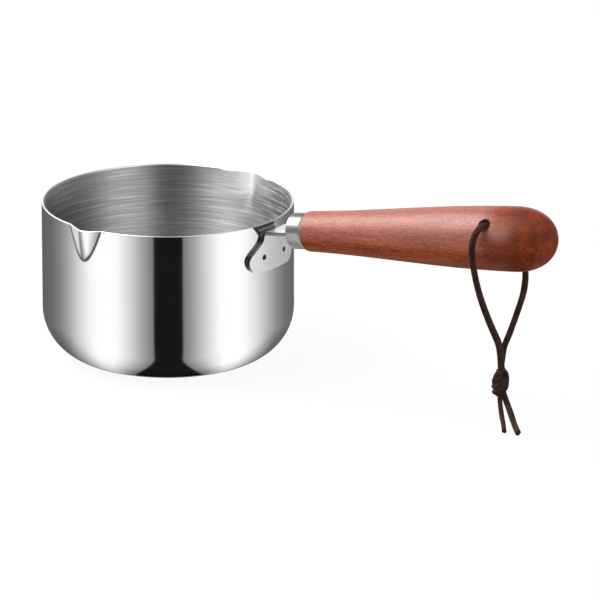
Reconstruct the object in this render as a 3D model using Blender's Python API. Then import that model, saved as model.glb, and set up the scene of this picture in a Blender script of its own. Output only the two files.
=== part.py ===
"""Butter warmer: a small drawn steel pot with two pouring spouts, a welded bracket,
a ferrule, a turned wooden handle and a knotted leather cord.

Metres, +Z up. The origin is the centre of the pot's flat base, +X runs along the handle.
"""
import math

import bmesh
import bpy
from mathutils import Matrix, Vector

FULL_TURN = 2.0 * math.pi

# Clearance between two solids that touch on the real object
SEAT_GAP = 0.0003

# Pot body, one drawn sheet
POT_RADIUS = 0.0425
POT_HEIGHT = 0.054
POT_WALL = 0.0007
POT_CORNER_RADIUS = 0.0173
POT_CORNER_STEPS = 8
WALL_COLUMNS = 26

# Two pinched spouts, opposite each other, turned a little from square to the handle
SPOUT_TURN = math.radians(-5.6)
SPOUT_HALF_WIDTH = 0.0067
SPOUT_DEPTH = 0.0118
SPOUT_REACH = 0.002
SPOUT_FOOT_RADIUS = 0.0012
SPOUT_LIP_DIP = 0.0005
SPOUT_COLUMNS = 4
SPOUT_ROWS = 8

# Handle axis: where it meets the wall, and how far it tilts up
HANDLE_DROP = 0.0032
HANDLE_TILT = math.radians(8.1)

# Bracket, stamped from one sheet: a plate on the wall and a tongue folded out of its top
BRACKET_SHEET = 0.0012
LOBE_HALF_WIDTH = 0.0121
LOBE_RADIUS = 0.0043
LOBE_DROP = 0.012
NECK_HALF_WIDTH = 0.0055
FOLD_RADIUS = 0.0008
TONGUE_TIP_HALF_WIDTH = 0.004
TONGUE_SHOULDER = 0.0005
TONGUE_TIP_REACH = 0.0008
WELD_DENT_SPACING = 0.0114
WELD_DENT_DROP = 0.0112
WELD_DENT_RADIUS = 0.001
WELD_DENT_DEPTH = 0.0003

# Ferrule, a short cup with a slot for the tongue
FERRULE_STANDOFF = 0.0099
FERRULE_RADIUS = 0.0061
FERRULE_WALL = 0.0008
FERRULE_FRONT = 0.001
FERRULE_LENGTH = 0.0047
FERRULE_EDGE = 0.0003

# Stud, welded to the tongue's tip and screwed into the wood
STUD_RADIUS = 0.0025
STUD_LENGTH = 0.032
STUD_CHAMFER = 0.0005

# Wooden handle, turned
TENON_LENGTH = 0.0017
WOOD_LENGTH = 0.0982
WOOD_ROOT_RADIUS = 0.00675
WOOD_ROOT_EDGE = 0.0006
WOOD_FULL_RADIUS = 0.01075
WOOD_DOME_LENGTH = 0.0147
WOOD_STEPS = 48

# Cross hole for the cord, drilled through the handle's axis at a slant
HOLE_FROM_TIP = 0.0207
HOLE_SLANT = math.radians(38.0)
HOLE_RADIUS = 0.002
HOLE_FLARE = 0.0005

# Leather cord: points of its route, in millimetres, chosen along the real cord
CORD_DIAMETER = 0.0022
CORD_POINT_SPACING = 1.3 * CORD_DIAMETER
CORD_FRONT_LEG = (
    (133.96, -0.12, 63.91), (133.74, -2.13, 65.46), (133.52, -4.14, 67.02),
    (133.30, -6.15, 68.57), (133.11, -7.89, 69.46), (132.90, -9.83, 69.68),
    (132.69, -11.72, 69.17), (132.51, -13.31, 68.01), (132.41, -14.42, 66.34),
    (132.42, -15.03, 64.05), (132.55, -15.20, 61.60), (132.75, -14.98, 59.00),
    (132.97, -14.40, 55.80), (133.20, -13.25, 51.60), (133.40, -11.21, 46.24),
    (133.60, -7.86, 39.58), (133.85, -4.20, 33.15), (134.10, -1.60, 28.60),
    (134.45, -0.20, 24.60), (134.75, 0.40, 19.40),
)
CORD_REAR_LEG = (
    (133.99, 0.12, 63.73), (134.24, 2.36, 61.99), (134.50, 4.73, 60.16),
    (134.76, 7.09, 58.33), (134.98, 9.50, 56.20), (135.10, 11.60, 53.40),
    (135.10, 12.90, 49.80), (135.00, 13.00, 45.60), (134.80, 11.84, 41.16),
    (134.55, 8.60, 35.50), (134.20, 5.20, 30.00), (133.75, 3.25, 25.60),
    (133.25, 2.75, 19.40),
)
CORD_FRONT_TAIL = (
    (134.50, 0.40, 9.20), (135.60, -0.90, 7.20), (137.20, -3.20, 4.60),
    (139.40, -6.10, 2.40), (141.60, -9.00, 1.30),
)
CORD_REAR_TAIL = (
    (134.60, 3.00, 9.60), (136.10, 1.90, 7.60), (138.90, -0.60, 4.80),
    (142.40, -4.00, 2.30), (146.20, -7.70, 1.25),
)

# Knot: a core with three slanted turns of the doubled cord round it
KNOT_CENTRE = (0.134, 0.0016, 0.0144)
KNOT_CORE_RADIUS = 0.0024
KNOT_HEIGHT = 0.0091
KNOT_TURN_RADIUS = 0.0017
KNOT_TURN_SPACING = 0.0021
KNOT_TURN_TILT = math.radians(24.0)
KNOT_TURNS = 3
KNOT_TURN_SIDES = 8

# Colours as Blender reads them, with roughness and metallic values
POLISHED_STEEL = ((0.62, 0.62, 0.62), 0.08, 1.0)
SATIN_STEEL = ((0.60, 0.60, 0.59), 0.28, 1.0)
ZINC_STEEL = ((0.45, 0.45, 0.44), 0.4, 1.0)
RED_WOOD = ((0.36, 0.105, 0.055), 0.35, 0.0)
DARK_LEATHER = ((0.035, 0.02, 0.015), 0.6, 0.0)

# Sizes that follow from those above
HANDLE_AXIS_HEIGHT = POT_HEIGHT - HANDLE_DROP
BRACKET_INNER_RADIUS = POT_RADIUS + SEAT_GAP
BRACKET_OUTER_RADIUS = BRACKET_INNER_RADIUS + BRACKET_SHEET
TENON_RADIUS = FERRULE_RADIUS - FERRULE_WALL - SEAT_GAP
TONGUE_TIP = FERRULE_STANDOFF + FERRULE_FRONT + TONGUE_TIP_REACH
STUD_START = TONGUE_TIP + SEAT_GAP
WOOD_START = FERRULE_STANDOFF + FERRULE_LENGTH + SEAT_GAP
TENON_START = WOOD_START - TENON_LENGTH
WOOD_TIP = WOOD_START + WOOD_LENGTH
HOLE_PLACE = WOOD_TIP - HOLE_FROM_TIP


def clear_scene():
    """Remove every object that the opened file holds."""
    for item in list(bpy.data.objects):
        bpy.data.objects.remove(item, do_unlink=True)


def make_material(name, finish):
    """Principled material from a colour, a roughness and a metallic value."""
    colour, roughness, metallic = finish
    material = bpy.data.materials.new(name)
    material.use_nodes = True
    shader = material.node_tree.nodes["Principled BSDF"]
    shader.inputs["Base Color"].default_value = (*colour, 1.0)
    shader.inputs["Roughness"].default_value = roughness
    shader.inputs["Metallic"].default_value = metallic
    return material


def add_object(name, data, parent=None, material=None):
    """Link a new object that holds the given mesh or curve."""
    item = bpy.data.objects.new(name, data)
    bpy.context.scene.collection.objects.link(item)
    item.parent = parent
    if material:
        data.materials.append(material)
    return item


def mesh_object(name, bm, parent=None, material=None, sharp_angle=35.0):
    """Turn a bmesh into a smooth-shaded object."""
    bmesh.ops.recalc_face_normals(bm, faces=bm.faces)
    mesh = bpy.data.meshes.new(name)
    bm.to_mesh(mesh)
    bm.free()
    mesh.shade_smooth()
    mesh.set_sharp_from_angle(angle=math.radians(sharp_angle))
    return add_object(name, mesh, parent, material)


def cut(item, cutter):
    """Cut one object by another, which stays in the scene as a guide."""
    cutter.hide_render = True
    cutter.display_type = 'WIRE'
    modifier = item.modifiers.new("cut_" + cutter.name, 'BOOLEAN')
    modifier.operation = 'DIFFERENCE'
    modifier.object = cutter


def turned(outline, steps):
    """Spin an outline of (radius, place) points round Z, closed at the poles."""
    bm = bmesh.new()
    points = [bm.verts.new((radius, 0.0, place)) for radius, place in outline]
    edges = [bm.edges.new(pair) for pair in zip(points, points[1:])]
    bmesh.ops.spin(
        bm, geom=points + edges, cent=(0, 0, 0), axis=(0, 0, 1),
        angle=FULL_TURN, steps=steps, use_merge=True,
    )
    bmesh.ops.remove_doubles(bm, verts=bm.verts, dist=0.000005)
    return bm


def spout_half_width(rise):
    """Half width of a spout, on the wall, at a height above its foot."""
    spread = SPOUT_HALF_WIDTH ** 2 - 2.0 * SPOUT_FOOT_RADIUS * SPOUT_DEPTH
    share = max(rise, 0.0) / SPOUT_DEPTH
    return math.sqrt(2.0 * SPOUT_FOOT_RADIUS * SPOUT_DEPTH * share + spread * share ** 2)


def spout_radius(angle, half_angle, reach):
    """Radius of the straight pinched side between a shoulder and the spout's tip."""
    tip = POT_RADIUS + reach
    slope = (1.0 / POT_RADIUS - math.cos(half_angle) / tip) / math.sin(half_angle)
    return 1.0 / (math.cos(angle) / tip + slope * math.sin(angle))


def pot_ring_point(column, radius, height):
    """Point of one ring of the pot. Columns crowd together at the two spouts."""
    rise = height - (POT_HEIGHT - SPOUT_DEPTH)
    half_width = spout_half_width(rise)
    half_angle = max(half_width, SPOUT_FOOT_RADIUS) / POT_RADIUS
    per_half = 2 * SPOUT_COLUMNS + WALL_COLUMNS
    half, place = divmod(column, per_half)
    centre = SPOUT_TURN - 0.5 * math.pi + half * math.pi
    if place <= 2 * SPOUT_COLUMNS:
        side = place / SPOUT_COLUMNS - 1.0
        angle = side * half_angle
        if half_width > SPOUT_FOOT_RADIUS * 0.1:
            reach = SPOUT_REACH * half_width / SPOUT_HALF_WIDTH
            offset = min(abs(angle), half_width / POT_RADIUS)
            radius += spout_radius(offset, half_width / POT_RADIUS, reach) - POT_RADIUS
        height -= SPOUT_LIP_DIP * (1.0 - abs(side)) * max(rise, 0.0) / SPOUT_DEPTH
    else:
        share = (place - 2 * SPOUT_COLUMNS) / WALL_COLUMNS
        angle = half_angle + share * (math.pi - 2.0 * half_angle)
    turn = centre + angle
    return Vector((radius * math.cos(turn), radius * math.sin(turn), height))


def pot_rings():
    """Radius and height of each ring of the pot's outside, from the rim to the base."""
    for row in range(SPOUT_ROWS + 1):
        rise = SPOUT_DEPTH * (1.0 - row / SPOUT_ROWS) ** 2
        yield POT_RADIUS, POT_HEIGHT - SPOUT_DEPTH + rise
    for step in range(POT_CORNER_STEPS + 1):
        turn = 0.5 * math.pi * step / POT_CORNER_STEPS
        radius = POT_RADIUS - POT_CORNER_RADIUS * (1.0 - math.cos(turn))
        yield radius, POT_CORNER_RADIUS * (1.0 - math.sin(turn))


def make_pot_body(material):
    """Cup drawn ring by ring from its rim, closed by a flat base, with a wall inside."""
    bm = bmesh.new()
    columns = 2 * (2 * SPOUT_COLUMNS + WALL_COLUMNS)
    column_of = bm.verts.layers.int.new("column")
    ring = bmesh.ops.create_circle(bm, segments=columns, radius=POT_RADIUS)["verts"]
    for column, vert in enumerate(ring):
        vert[column_of] = column
    for row, (radius, height) in enumerate(pot_rings()):
        if row:
            made = bmesh.ops.extrude_edge_only(bm, edges=edges)["geom"]
            ring = [part for part in made if isinstance(part, bmesh.types.BMVert)]
        edges = list({edge for vert in ring for edge in vert.link_edges
                      if edge.other_vert(vert) in ring})
        for vert in ring:
            vert.co = pot_ring_point(vert[column_of], radius, height)
    bmesh.ops.contextual_create(bm, geom=edges)
    pot = mesh_object("pot_body", bm, material=material, sharp_angle=20.0)
    wall = pot.modifiers.new("wall", 'SOLIDIFY')
    wall.thickness = POT_WALL
    wall.offset = -1.0
    wall.use_even_offset = True
    return pot


def lobe_width(height, lobe_height, fold_height):
    """Half width of the bracket's plate: round lobes below, drawn in to the neck above."""
    below = lobe_height - height
    if below > 0.0:
        reach = math.sqrt(max(LOBE_RADIUS ** 2 - below ** 2, 0.0))
        return LOBE_HALF_WIDTH - LOBE_RADIUS + reach
    share = (height - lobe_height) / (fold_height - lobe_height)
    ease = 0.5 + 0.5 * math.cos(math.pi * share)
    return NECK_HALF_WIDTH + (LOBE_HALF_WIDTH - NECK_HALF_WIDTH) * ease


def bracket_rows():
    """Rows of the bracket's sheet, as functions from a side (-1 to 1) to a point."""
    radius = BRACKET_INNER_RADIUS
    slope = math.tan(HANDLE_TILT)
    fold = FOLD_RADIUS + BRACKET_SHEET
    turn = 0.5 * math.pi - HANDLE_TILT
    fold_reach = fold * (1.0 - math.cos(turn))
    top = HANDLE_AXIS_HEIGHT + (radius + fold_reach - POT_RADIUS) * slope
    fold_height = top + 0.5 * BRACKET_SHEET / math.cos(HANDLE_TILT) - fold * math.sin(turn)
    lobe_height = POT_HEIGHT - LOBE_DROP

    def plate_point(side, height, half_width):
        angle = side * half_width / radius
        return Vector((radius * math.cos(angle), radius * math.sin(angle), height))

    rows = []
    for step in range(5):
        height = lobe_height - LOBE_RADIUS * math.cos(0.5 * math.pi * step / 5)
        rows.append((height, lobe_width(height, lobe_height, fold_height)))
    for step in range(7):
        height = lobe_height + (fold_height - lobe_height) * step / 6
        rows.append((height, lobe_width(height, lobe_height, fold_height)))
    for height, half_width in rows:
        yield lambda side, h=height, w=half_width: plate_point(side, h, w)
    for step in range(1, 5):
        bend = turn * step / 4
        shift = Vector((fold * (1.0 - math.cos(bend)), 0.0, fold * math.sin(bend)))
        yield lambda side, s=shift: plate_point(side, fold_height, NECK_HALF_WIDTH) + s

    shoulder = FERRULE_STANDOFF - SEAT_GAP
    tongue = (
        (shoulder - TONGUE_SHOULDER, NECK_HALF_WIDTH),
        (shoulder, TONGUE_TIP_HALF_WIDTH),
        (TONGUE_TIP, TONGUE_TIP_HALF_WIDTH),
    )
    along = Vector((math.cos(HANDLE_TILT), 0.0, math.sin(HANDLE_TILT)))
    above = Vector((-math.sin(HANDLE_TILT), 0.0, math.cos(HANDLE_TILT)))
    start = Vector((POT_RADIUS, 0.0, HANDLE_AXIS_HEIGHT)) + above * 0.5 * BRACKET_SHEET
    for place, half_width in tongue:
        centre = start + along * place
        yield lambda side, c=centre, w=half_width: c + Vector((0.0, side * w, 0.0))


def make_handle_bracket(material):
    """Plate on the wall and tongue to the ferrule, bent from one sheet."""
    rows = list(bracket_rows())
    columns = 10
    bm = bmesh.new()
    bmesh.ops.create_grid(bm, x_segments=columns, y_segments=len(rows) - 1, size=1.0)
    for vert in bm.verts:
        row = round((vert.co.y + 1.0) * 0.5 * (len(rows) - 1))
        vert.co = rows[row](vert.co.x)
    bracket = mesh_object("handle_bracket", bm, material=material, sharp_angle=40.0)
    sheet = bracket.modifiers.new("sheet", 'SOLIDIFY')
    sheet.thickness = BRACKET_SHEET
    sheet.use_even_offset = True
    outward = bracket.data.polygons[0].normal.x > 0.0
    sheet.offset = 1.0 if outward else -1.0
    ball_radius = 0.5 * (WELD_DENT_RADIUS ** 2 / WELD_DENT_DEPTH + WELD_DENT_DEPTH)
    for name, side in (("front_weld_dent", -0.5), ("rear_weld_dent", 0.5)):
        angle = side * WELD_DENT_SPACING / BRACKET_OUTER_RADIUS
        reach = BRACKET_OUTER_RADIUS + ball_radius - WELD_DENT_DEPTH
        dent = bmesh.new()
        bmesh.ops.create_uvsphere(dent, u_segments=24, v_segments=16, radius=ball_radius)
        ball = mesh_object(name, dent)
        ball.location = (
            reach * math.cos(angle), reach * math.sin(angle), POT_HEIGHT - WELD_DENT_DROP,
        )
        cut(bracket, ball)
    return bracket


def make_handle_axis():
    """Empty at the wall whose +Z runs out along the handle."""
    axis = bpy.data.objects.new("handle_axis", None)
    bpy.context.scene.collection.objects.link(axis)
    axis.location = (POT_RADIUS, 0.0, HANDLE_AXIS_HEIGHT)
    axis.rotation_euler = (0.0, 0.5 * math.pi - HANDLE_TILT, 0.0)
    return axis


def make_ferrule(axis, material):
    """Cup whose front wall stands at the tongue's shoulders, open towards the wood."""
    front = FERRULE_STANDOFF
    back = front + FERRULE_LENGTH
    inner = FERRULE_RADIUS - FERRULE_WALL
    outline = (
        (0.0, front),
        (FERRULE_RADIUS - FERRULE_EDGE, front),
        (FERRULE_RADIUS, front + FERRULE_EDGE),
        (FERRULE_RADIUS, back),
        (inner, back),
        (inner, front + FERRULE_FRONT),
        (0.0, front + FERRULE_FRONT),
    )
    ferrule = mesh_object("ferrule", turned(outline, 40), axis, material)
    slot = bmesh.new()
    bmesh.ops.create_cube(slot, size=1.0)
    slot_size = (
        BRACKET_SHEET + 2.0 * SEAT_GAP, 2.0 * (TONGUE_TIP_HALF_WIDTH + SEAT_GAP),
        3.0 * FERRULE_FRONT,
    )
    bmesh.ops.transform(slot, matrix=Matrix.Diagonal((*slot_size, 1.0)), verts=slot.verts)
    cutter = mesh_object("tongue_slot", slot, axis)
    cutter.location = (0.0, 0.0, front + 0.5 * FERRULE_FRONT)
    cut(ferrule, cutter)
    return ferrule


def make_handle_stud(axis, material):
    """Rod from the tongue's tip into the wood."""
    end = STUD_START + STUD_LENGTH
    outline = (
        (0.0, STUD_START),
        (STUD_RADIUS - STUD_CHAMFER, STUD_START),
        (STUD_RADIUS, STUD_START + STUD_CHAMFER),
        (STUD_RADIUS, end - STUD_CHAMFER),
        (STUD_RADIUS - STUD_CHAMFER, end),
        (0.0, end),
    )
    return mesh_object("handle_stud", turned(outline, 24), axis, material)


def wood_side(count):
    """Outside of the handle from its root to where the dome begins, as a Bezier curve."""
    start = WOOD_START + WOOD_ROOT_EDGE
    end = WOOD_TIP - WOOD_DOME_LENGTH
    length = end - start
    swell = WOOD_FULL_RADIUS - WOOD_ROOT_RADIUS
    handles = (
        (WOOD_ROOT_RADIUS, start),
        (WOOD_ROOT_RADIUS + 0.19 * swell, start + 0.33 * length),
        (WOOD_FULL_RADIUS - 0.04 * swell, start + 0.63 * length),
        (WOOD_FULL_RADIUS, end),
    )
    for step in range(count + 1):
        t = step / count
        weights = ((1 - t) ** 3, 3 * t * (1 - t) ** 2, 3 * t * t * (1 - t), t ** 3)
        yield tuple(sum(w * h[axis] for w, h in zip(weights, handles)) for axis in (0, 1))


def make_wooden_handle(axis, material):
    """Turned handle with a tenon in the ferrule, a bore for the stud and a cross hole."""
    bore = STUD_RADIUS + SEAT_GAP
    bore_end = STUD_START + STUD_LENGTH + SEAT_GAP
    outline = [
        (0.0, bore_end),
        (bore, bore_end),
        (bore, TENON_START),
        (TENON_RADIUS, TENON_START),
        (TENON_RADIUS, WOOD_START),
        (WOOD_ROOT_RADIUS - WOOD_ROOT_EDGE, WOOD_START),
    ]
    outline += wood_side(14)
    dome_steps = 9
    for step in range(1, dome_steps + 1):
        turn = 0.5 * math.pi * step / dome_steps
        radius = WOOD_FULL_RADIUS * math.cos(turn) if step < dome_steps else 0.0
        place = WOOD_TIP - WOOD_DOME_LENGTH * (1.0 - math.sin(turn))
        outline.append((radius, place))
    handle = mesh_object("wooden_handle", turned(outline, WOOD_STEPS), axis, material)
    cut(handle, make_cord_hole(axis))
    return handle


def make_cord_hole(axis):
    """Cutter of the cross hole, flared at both mouths."""
    mouth = WOOD_FULL_RADIUS
    wide = HOLE_RADIUS + HOLE_FLARE
    beyond = mouth + HOLE_FLARE
    half = [(HOLE_RADIUS, mouth - 2.0 * HOLE_FLARE), (wide, mouth), (wide, beyond)]
    outline = [(0.0, beyond)] + half[::-1]
    outline += [(radius, -place) for radius, place in half] + [(0.0, -beyond)]
    cutter = mesh_object("cord_hole", turned(outline, 24), axis)
    cutter.location = (0.0, 0.0, HOLE_PLACE)
    along = Vector((math.sin(HOLE_SLANT), math.cos(HOLE_SLANT), 0.0))
    cutter.rotation_euler = along.to_track_quat('Z', 'Y').to_euler()
    return cutter


def smooth_route(route):
    """Points read at even steps from a smooth curve through the route's points."""
    knots = [Vector(point) * 0.001 for point in route]
    ends = [2 * knots[0] - knots[1]] + knots + [2 * knots[-1] - knots[-2]]
    fine = []
    for a, b, c, d in zip(ends, ends[1:], ends[2:], ends[3:]):
        for step in range(20):
            t = step / 20
            fine.append(0.5 * (2 * b + (c - a) * t + (2 * a - 5 * b + 4 * c - d) * t * t
                               + (3 * b - a - 3 * c + d) * t ** 3))
    fine.append(knots[-1])
    lengths = [0.0]
    for first, second in zip(fine, fine[1:]):
        lengths.append(lengths[-1] + (second - first).length)
    count = max(2, round(lengths[-1] / CORD_POINT_SPACING))
    points = []
    for step in range(count + 1):
        target = lengths[-1] * step / count
        place = next(i for i, far in enumerate(lengths) if far >= target - 1e-9)
        points.append(fine[place])
    return points


def make_cord(name, route, material):
    """Round tube along a stretch of the cord."""
    curve = bpy.data.curves.new(name, 'CURVE')
    curve.dimensions = '3D'
    curve.bevel_depth = 0.5 * CORD_DIAMETER
    curve.bevel_resolution = 2
    curve.use_fill_caps = True
    points = smooth_route(route)
    spline = curve.splines.new('POLY')
    spline.points.add(len(points) - 1)
    for point, place in zip(spline.points, points):
        point.co = (*place, 1.0)
    spline.use_smooth = True
    return add_object(name, curve, material=material)


def make_cord_knot(material):
    """Knot: a core joined with slanted turns of cord."""
    bm = bmesh.new()
    bmesh.ops.create_uvsphere(bm, u_segments=16, v_segments=12, radius=1.0)
    core_size = (KNOT_CORE_RADIUS, KNOT_CORE_RADIUS, 0.5 * KNOT_HEIGHT, 1.0)
    bmesh.ops.transform(bm, matrix=Matrix.Diagonal(core_size), verts=bm.verts)
    knot = mesh_object("cord_knot", bm, material=material)
    knot.location = KNOT_CENTRE
    section = []
    for step in range(KNOT_TURN_SIDES + 1):
        angle = FULL_TURN * step / KNOT_TURN_SIDES
        reach = 0.5 * CORD_DIAMETER * math.cos(angle)
        section.append((KNOT_TURN_RADIUS + reach, 0.5 * CORD_DIAMETER * math.sin(angle)))
    for turn in range(KNOT_TURNS):
        wrap = mesh_object("knot_turn_%d" % (turn + 1), turned(section, 16), knot)
        wrap.location = (0.0, 0.0, (turn - 0.5 * (KNOT_TURNS - 1)) * KNOT_TURN_SPACING)
        wrap.rotation_euler = (KNOT_TURN_TILT, 0.0, 0.0)
        wrap.hide_render = True
        wrap.display_type = 'WIRE'
        join = knot.modifiers.new("join_" + wrap.name, 'BOOLEAN')
        join.operation = 'UNION'
        join.object = wrap
    return knot


def main():
    clear_scene()
    polished = make_material("polished_steel", POLISHED_STEEL)
    satin = make_material("satin_steel", SATIN_STEEL)
    zinc = make_material("zinc_steel", ZINC_STEEL)
    wood = make_material("red_wood", RED_WOOD)
    leather = make_material("dark_leather", DARK_LEATHER)
    make_pot_body(polished)
    make_handle_bracket(satin)
    axis = make_handle_axis()
    make_ferrule(axis, satin)
    make_handle_stud(axis, zinc)
    make_wooden_handle(axis, wood)
    make_cord("cord_front_leg", CORD_FRONT_LEG, leather)
    make_cord("cord_rear_leg", CORD_REAR_LEG, leather)
    make_cord_knot(leather)
    make_cord("cord_front_tail", CORD_FRONT_TAIL, leather)
    make_cord("cord_rear_tail", CORD_REAR_TAIL, leather)


main()
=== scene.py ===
"""Butter warmer: finishes, leather lace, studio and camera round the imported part.

Metres, +Z up, in the part's own frame: the origin is the centre of the pot's base and +X
runs along the handle.
"""

import math

import bmesh
import bpy
from mathutils import Matrix, Vector


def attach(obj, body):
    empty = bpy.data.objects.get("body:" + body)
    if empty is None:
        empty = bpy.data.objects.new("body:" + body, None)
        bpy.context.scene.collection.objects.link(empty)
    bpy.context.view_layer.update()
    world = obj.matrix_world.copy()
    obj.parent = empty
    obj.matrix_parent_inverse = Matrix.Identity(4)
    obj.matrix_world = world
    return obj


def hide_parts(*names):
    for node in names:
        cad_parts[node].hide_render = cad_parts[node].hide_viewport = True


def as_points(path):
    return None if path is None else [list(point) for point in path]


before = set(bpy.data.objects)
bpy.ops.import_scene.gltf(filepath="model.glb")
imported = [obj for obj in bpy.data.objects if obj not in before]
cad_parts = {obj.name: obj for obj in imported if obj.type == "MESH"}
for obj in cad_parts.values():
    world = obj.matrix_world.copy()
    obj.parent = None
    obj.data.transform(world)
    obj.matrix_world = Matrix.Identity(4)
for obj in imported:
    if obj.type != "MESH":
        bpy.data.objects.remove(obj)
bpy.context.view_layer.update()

FULL_TURN = 2.0 * math.pi
UP = Vector((0.0, 0.0, 1.0))

# Camera, at the photograph's height and angle
CAMERA_PLACE = (1.39688, -1.94255, 0.77877)
CAMERA_TURN = (math.radians(72.37), 0.0, math.radians(34.654))
CAMERA_LENS = 445.47
CAMERA_REACH = 50.0

# Pot body
POT_RADIUS = 0.0425
POT_HEIGHT = 0.054
POT_WALL = 0.0007
POT_CORNER_RADIUS = 0.0173
POT_CORNER_STEPS = 24
RIM_EDGE = 0.00034
RIM_STEPS = 5
RIM_MARGIN = 0.00005
WALL_COLUMNS = 60
WALL_ROWS = 8

OUTSIDE, INSIDE, RIM = 0, 1, 2

# Pinched spouts
SPOUT_TURN = math.radians(-5.6)
SPOUT_HALF_WIDTH = 0.0067
SPOUT_DEPTH = 0.0115
SPOUT_REACH = 0.002
SPOUT_FOOT_RADIUS = 0.0015
SPOUT_FOOT_MARGIN = 0.002
SPOUT_LIP_DIP = 0.0005
SPOUT_FOOT = POT_HEIGHT - SPOUT_DEPTH
SPOUT_SPREAD = SPOUT_HALF_WIDTH ** 2 - 2.0 * SPOUT_FOOT_RADIUS * SPOUT_DEPTH
SPOUT_HANDLE_SIDE_BULGE = 0.0004
SPOUT_FAR_SIDE_BULGE = 0.0001
SPOUT_SKEW = 0.09
SPOUT_FOLD = 0.0004
SPOUT_INNER_FOLD = 0.0011
SPOUT_MARGIN = 0.0014
SPOUT_WINDOW = 0.0125
SPOUT_COLUMNS = 66
SIDE_COLUMNS = 10
HALF_COLUMNS = 2 * SPOUT_COLUMNS + 2 * SIDE_COLUMNS + WALL_COLUMNS
SPOUT_ROWS = 32
FOOT_ROWS = 6
FOOT_ROW_HEIGHT = 0.00012

# Marks of the press at a spout: bead and crease as (depth, width), then the width of the
# painted shade in the crease, inside and outside of the spout's edge
SPOUT_BEAD = (0.0001, 0.0005)
SPOUT_BEAD_START = 0.003
SPOUT_CREASE = (0.00005, 0.00045)
HANDLE_SIDE_PAINTED_SHADE = (0.00084, 0.00048)
FAR_SIDE_PAINTED_SHADE = (0.00204, 0.00072)
# Painted shade at the spout's foot, on its far-side crease and along its ridge
APEX_SHADE = 0.002
APEX_HEIGHT = 0.0036
FAR_CREASE_SHARE = 0.75
FAR_CREASE_HEIGHT = 0.004
RIDGE_SHADE = 0.0016
RIDGE_FLARE = 0.3
RIDGE_START = 0.001
RIDGE_DARKNESS = 0.68
RIDGE_FOOT_DARKNESS = 0.14
RIDGE_EDGE = 0.0003
# Painted highlight along the fold inside a spout, and how far its shading turns there
SPOUT_GLEAM = 0.0085
SPOUT_GLEAM_LINE = 0.0023
SPOUT_GLEAM_TURN = math.radians(10.0)
GLEAM_START = 0.002
GLEAM_RISE = 0.004
GLEAM_SHARE = 0.75
FAR_SIDE_POLISH = 0.9
INSIDE_FAR_SIDE_POLISH = 0.85
INSIDE_HANDLE_SIDE_POLISH = 0.4
POLISH_EDGE = 0.0004

# Handle axis: where it meets the wall, and how far it tilts up
HANDLE_DROP = 0.0032
HANDLE_TILT = math.radians(8.1)
HANDLE_AXIS_HEIGHT = POT_HEIGHT - HANDLE_DROP
HANDLE_FRAME = (
    Matrix.Translation((POT_RADIUS, 0.0, HANDLE_AXIS_HEIGHT))
    @ Matrix.Rotation(0.5 * math.pi - HANDLE_TILT, 4, 'Y')
)

# Bracket
SEAT_GAP = 0.0003
BRACKET_SHEET = 0.0012
BRACKET_EDGE = 0.00022
BRACKET_INNER_RADIUS = POT_RADIUS + SEAT_GAP
LOBE_HALF_WIDTH = 0.0121
LOBE_RADIUS = 0.0043
LOBE_DROP = 0.012
NECK_HALF_WIDTH = 0.0055
FOLD_RADIUS = 0.0008
TONGUE_TIP_HALF_WIDTH = 0.004
TONGUE_SHOULDER = 0.0005
TONGUE_TIP_REACH = 0.0008
WELD_DENT_SPACING = 0.0114
WELD_DENT_DROP = 0.0112
WELD_DENT_RADIUS = 0.001
WELD_DENT_DEPTH = 0.00045
# Painted dark reflection of the tongue on the wall over it: centre, half width, slope, blur and strength
PAINTED_REFLECTION_CENTRE = -0.0024
PAINTED_REFLECTION_HALF_WIDTH = 0.005
PAINTED_REFLECTION_SLOPE = 0.6
PAINTED_REFLECTION_BLUR = 0.0002
PAINTED_REFLECTION_STRENGTH = 0.7
BRACKET_COLUMNS = 96
LOBE_STEPS = 20
PLATE_STEPS = 40
FOLD_STEPS = 8

# Ferrule
FERRULE_STANDOFF = 0.0099
FERRULE_RADIUS = 0.0061
FERRULE_WALL = 0.0008
FERRULE_FRONT = 0.001
FERRULE_LENGTH = 0.0052
FERRULE_EDGE = 0.0003
FERRULE_STEPS = 96
TONGUE_TIP = FERRULE_STANDOFF + FERRULE_FRONT + TONGUE_TIP_REACH

# Wooden handle
STUD_RADIUS = 0.0025
STUD_LENGTH = 0.032
STUD_START = TONGUE_TIP + SEAT_GAP
TENON_LENGTH = 0.0017
TENON_RADIUS = FERRULE_RADIUS - FERRULE_WALL - SEAT_GAP
WOOD_START = FERRULE_STANDOFF + FERRULE_LENGTH + SEAT_GAP
WOOD_LENGTH = 0.0973
WOOD_TIP = WOOD_START + WOOD_LENGTH
WOOD_ROOT_RADIUS = 0.00675
WOOD_ROOT_EDGE = 0.0011
WOOD_FULL_RADIUS = 0.01075
WOOD_DOME_LENGTH = 0.0147
WOOD_DOME_FULLNESS = 0.88
WOOD_STEPS = 144
WOOD_SIDE_STEPS = 60
DOME_STEPS = 36
# Side of the handle that carries the wax, the painted sheen and the painted shade at its end
WAXED_SIDE = (-0.68, -0.73, 0.0)

# Cross hole for the cord
HOLE_PLACE = WOOD_TIP - 0.0207
HOLE_SLANT = math.radians(38.0)
HOLE_AXIS = Vector((math.sin(HOLE_SLANT), math.cos(HOLE_SLANT), 0.0))
HOLE_RADIUS = 0.002
HOLE_FLARE = 0.0007
HOLE_STEPS = 48
# Painted highlight on the wood beside the hole: its centre and radius
PAINTED_HIGHLIGHT_PLACE = (-0.0040, -0.0098, HOLE_PLACE + 0.0058)
PAINTED_HIGHLIGHT_RADIUS = 0.0046

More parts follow.
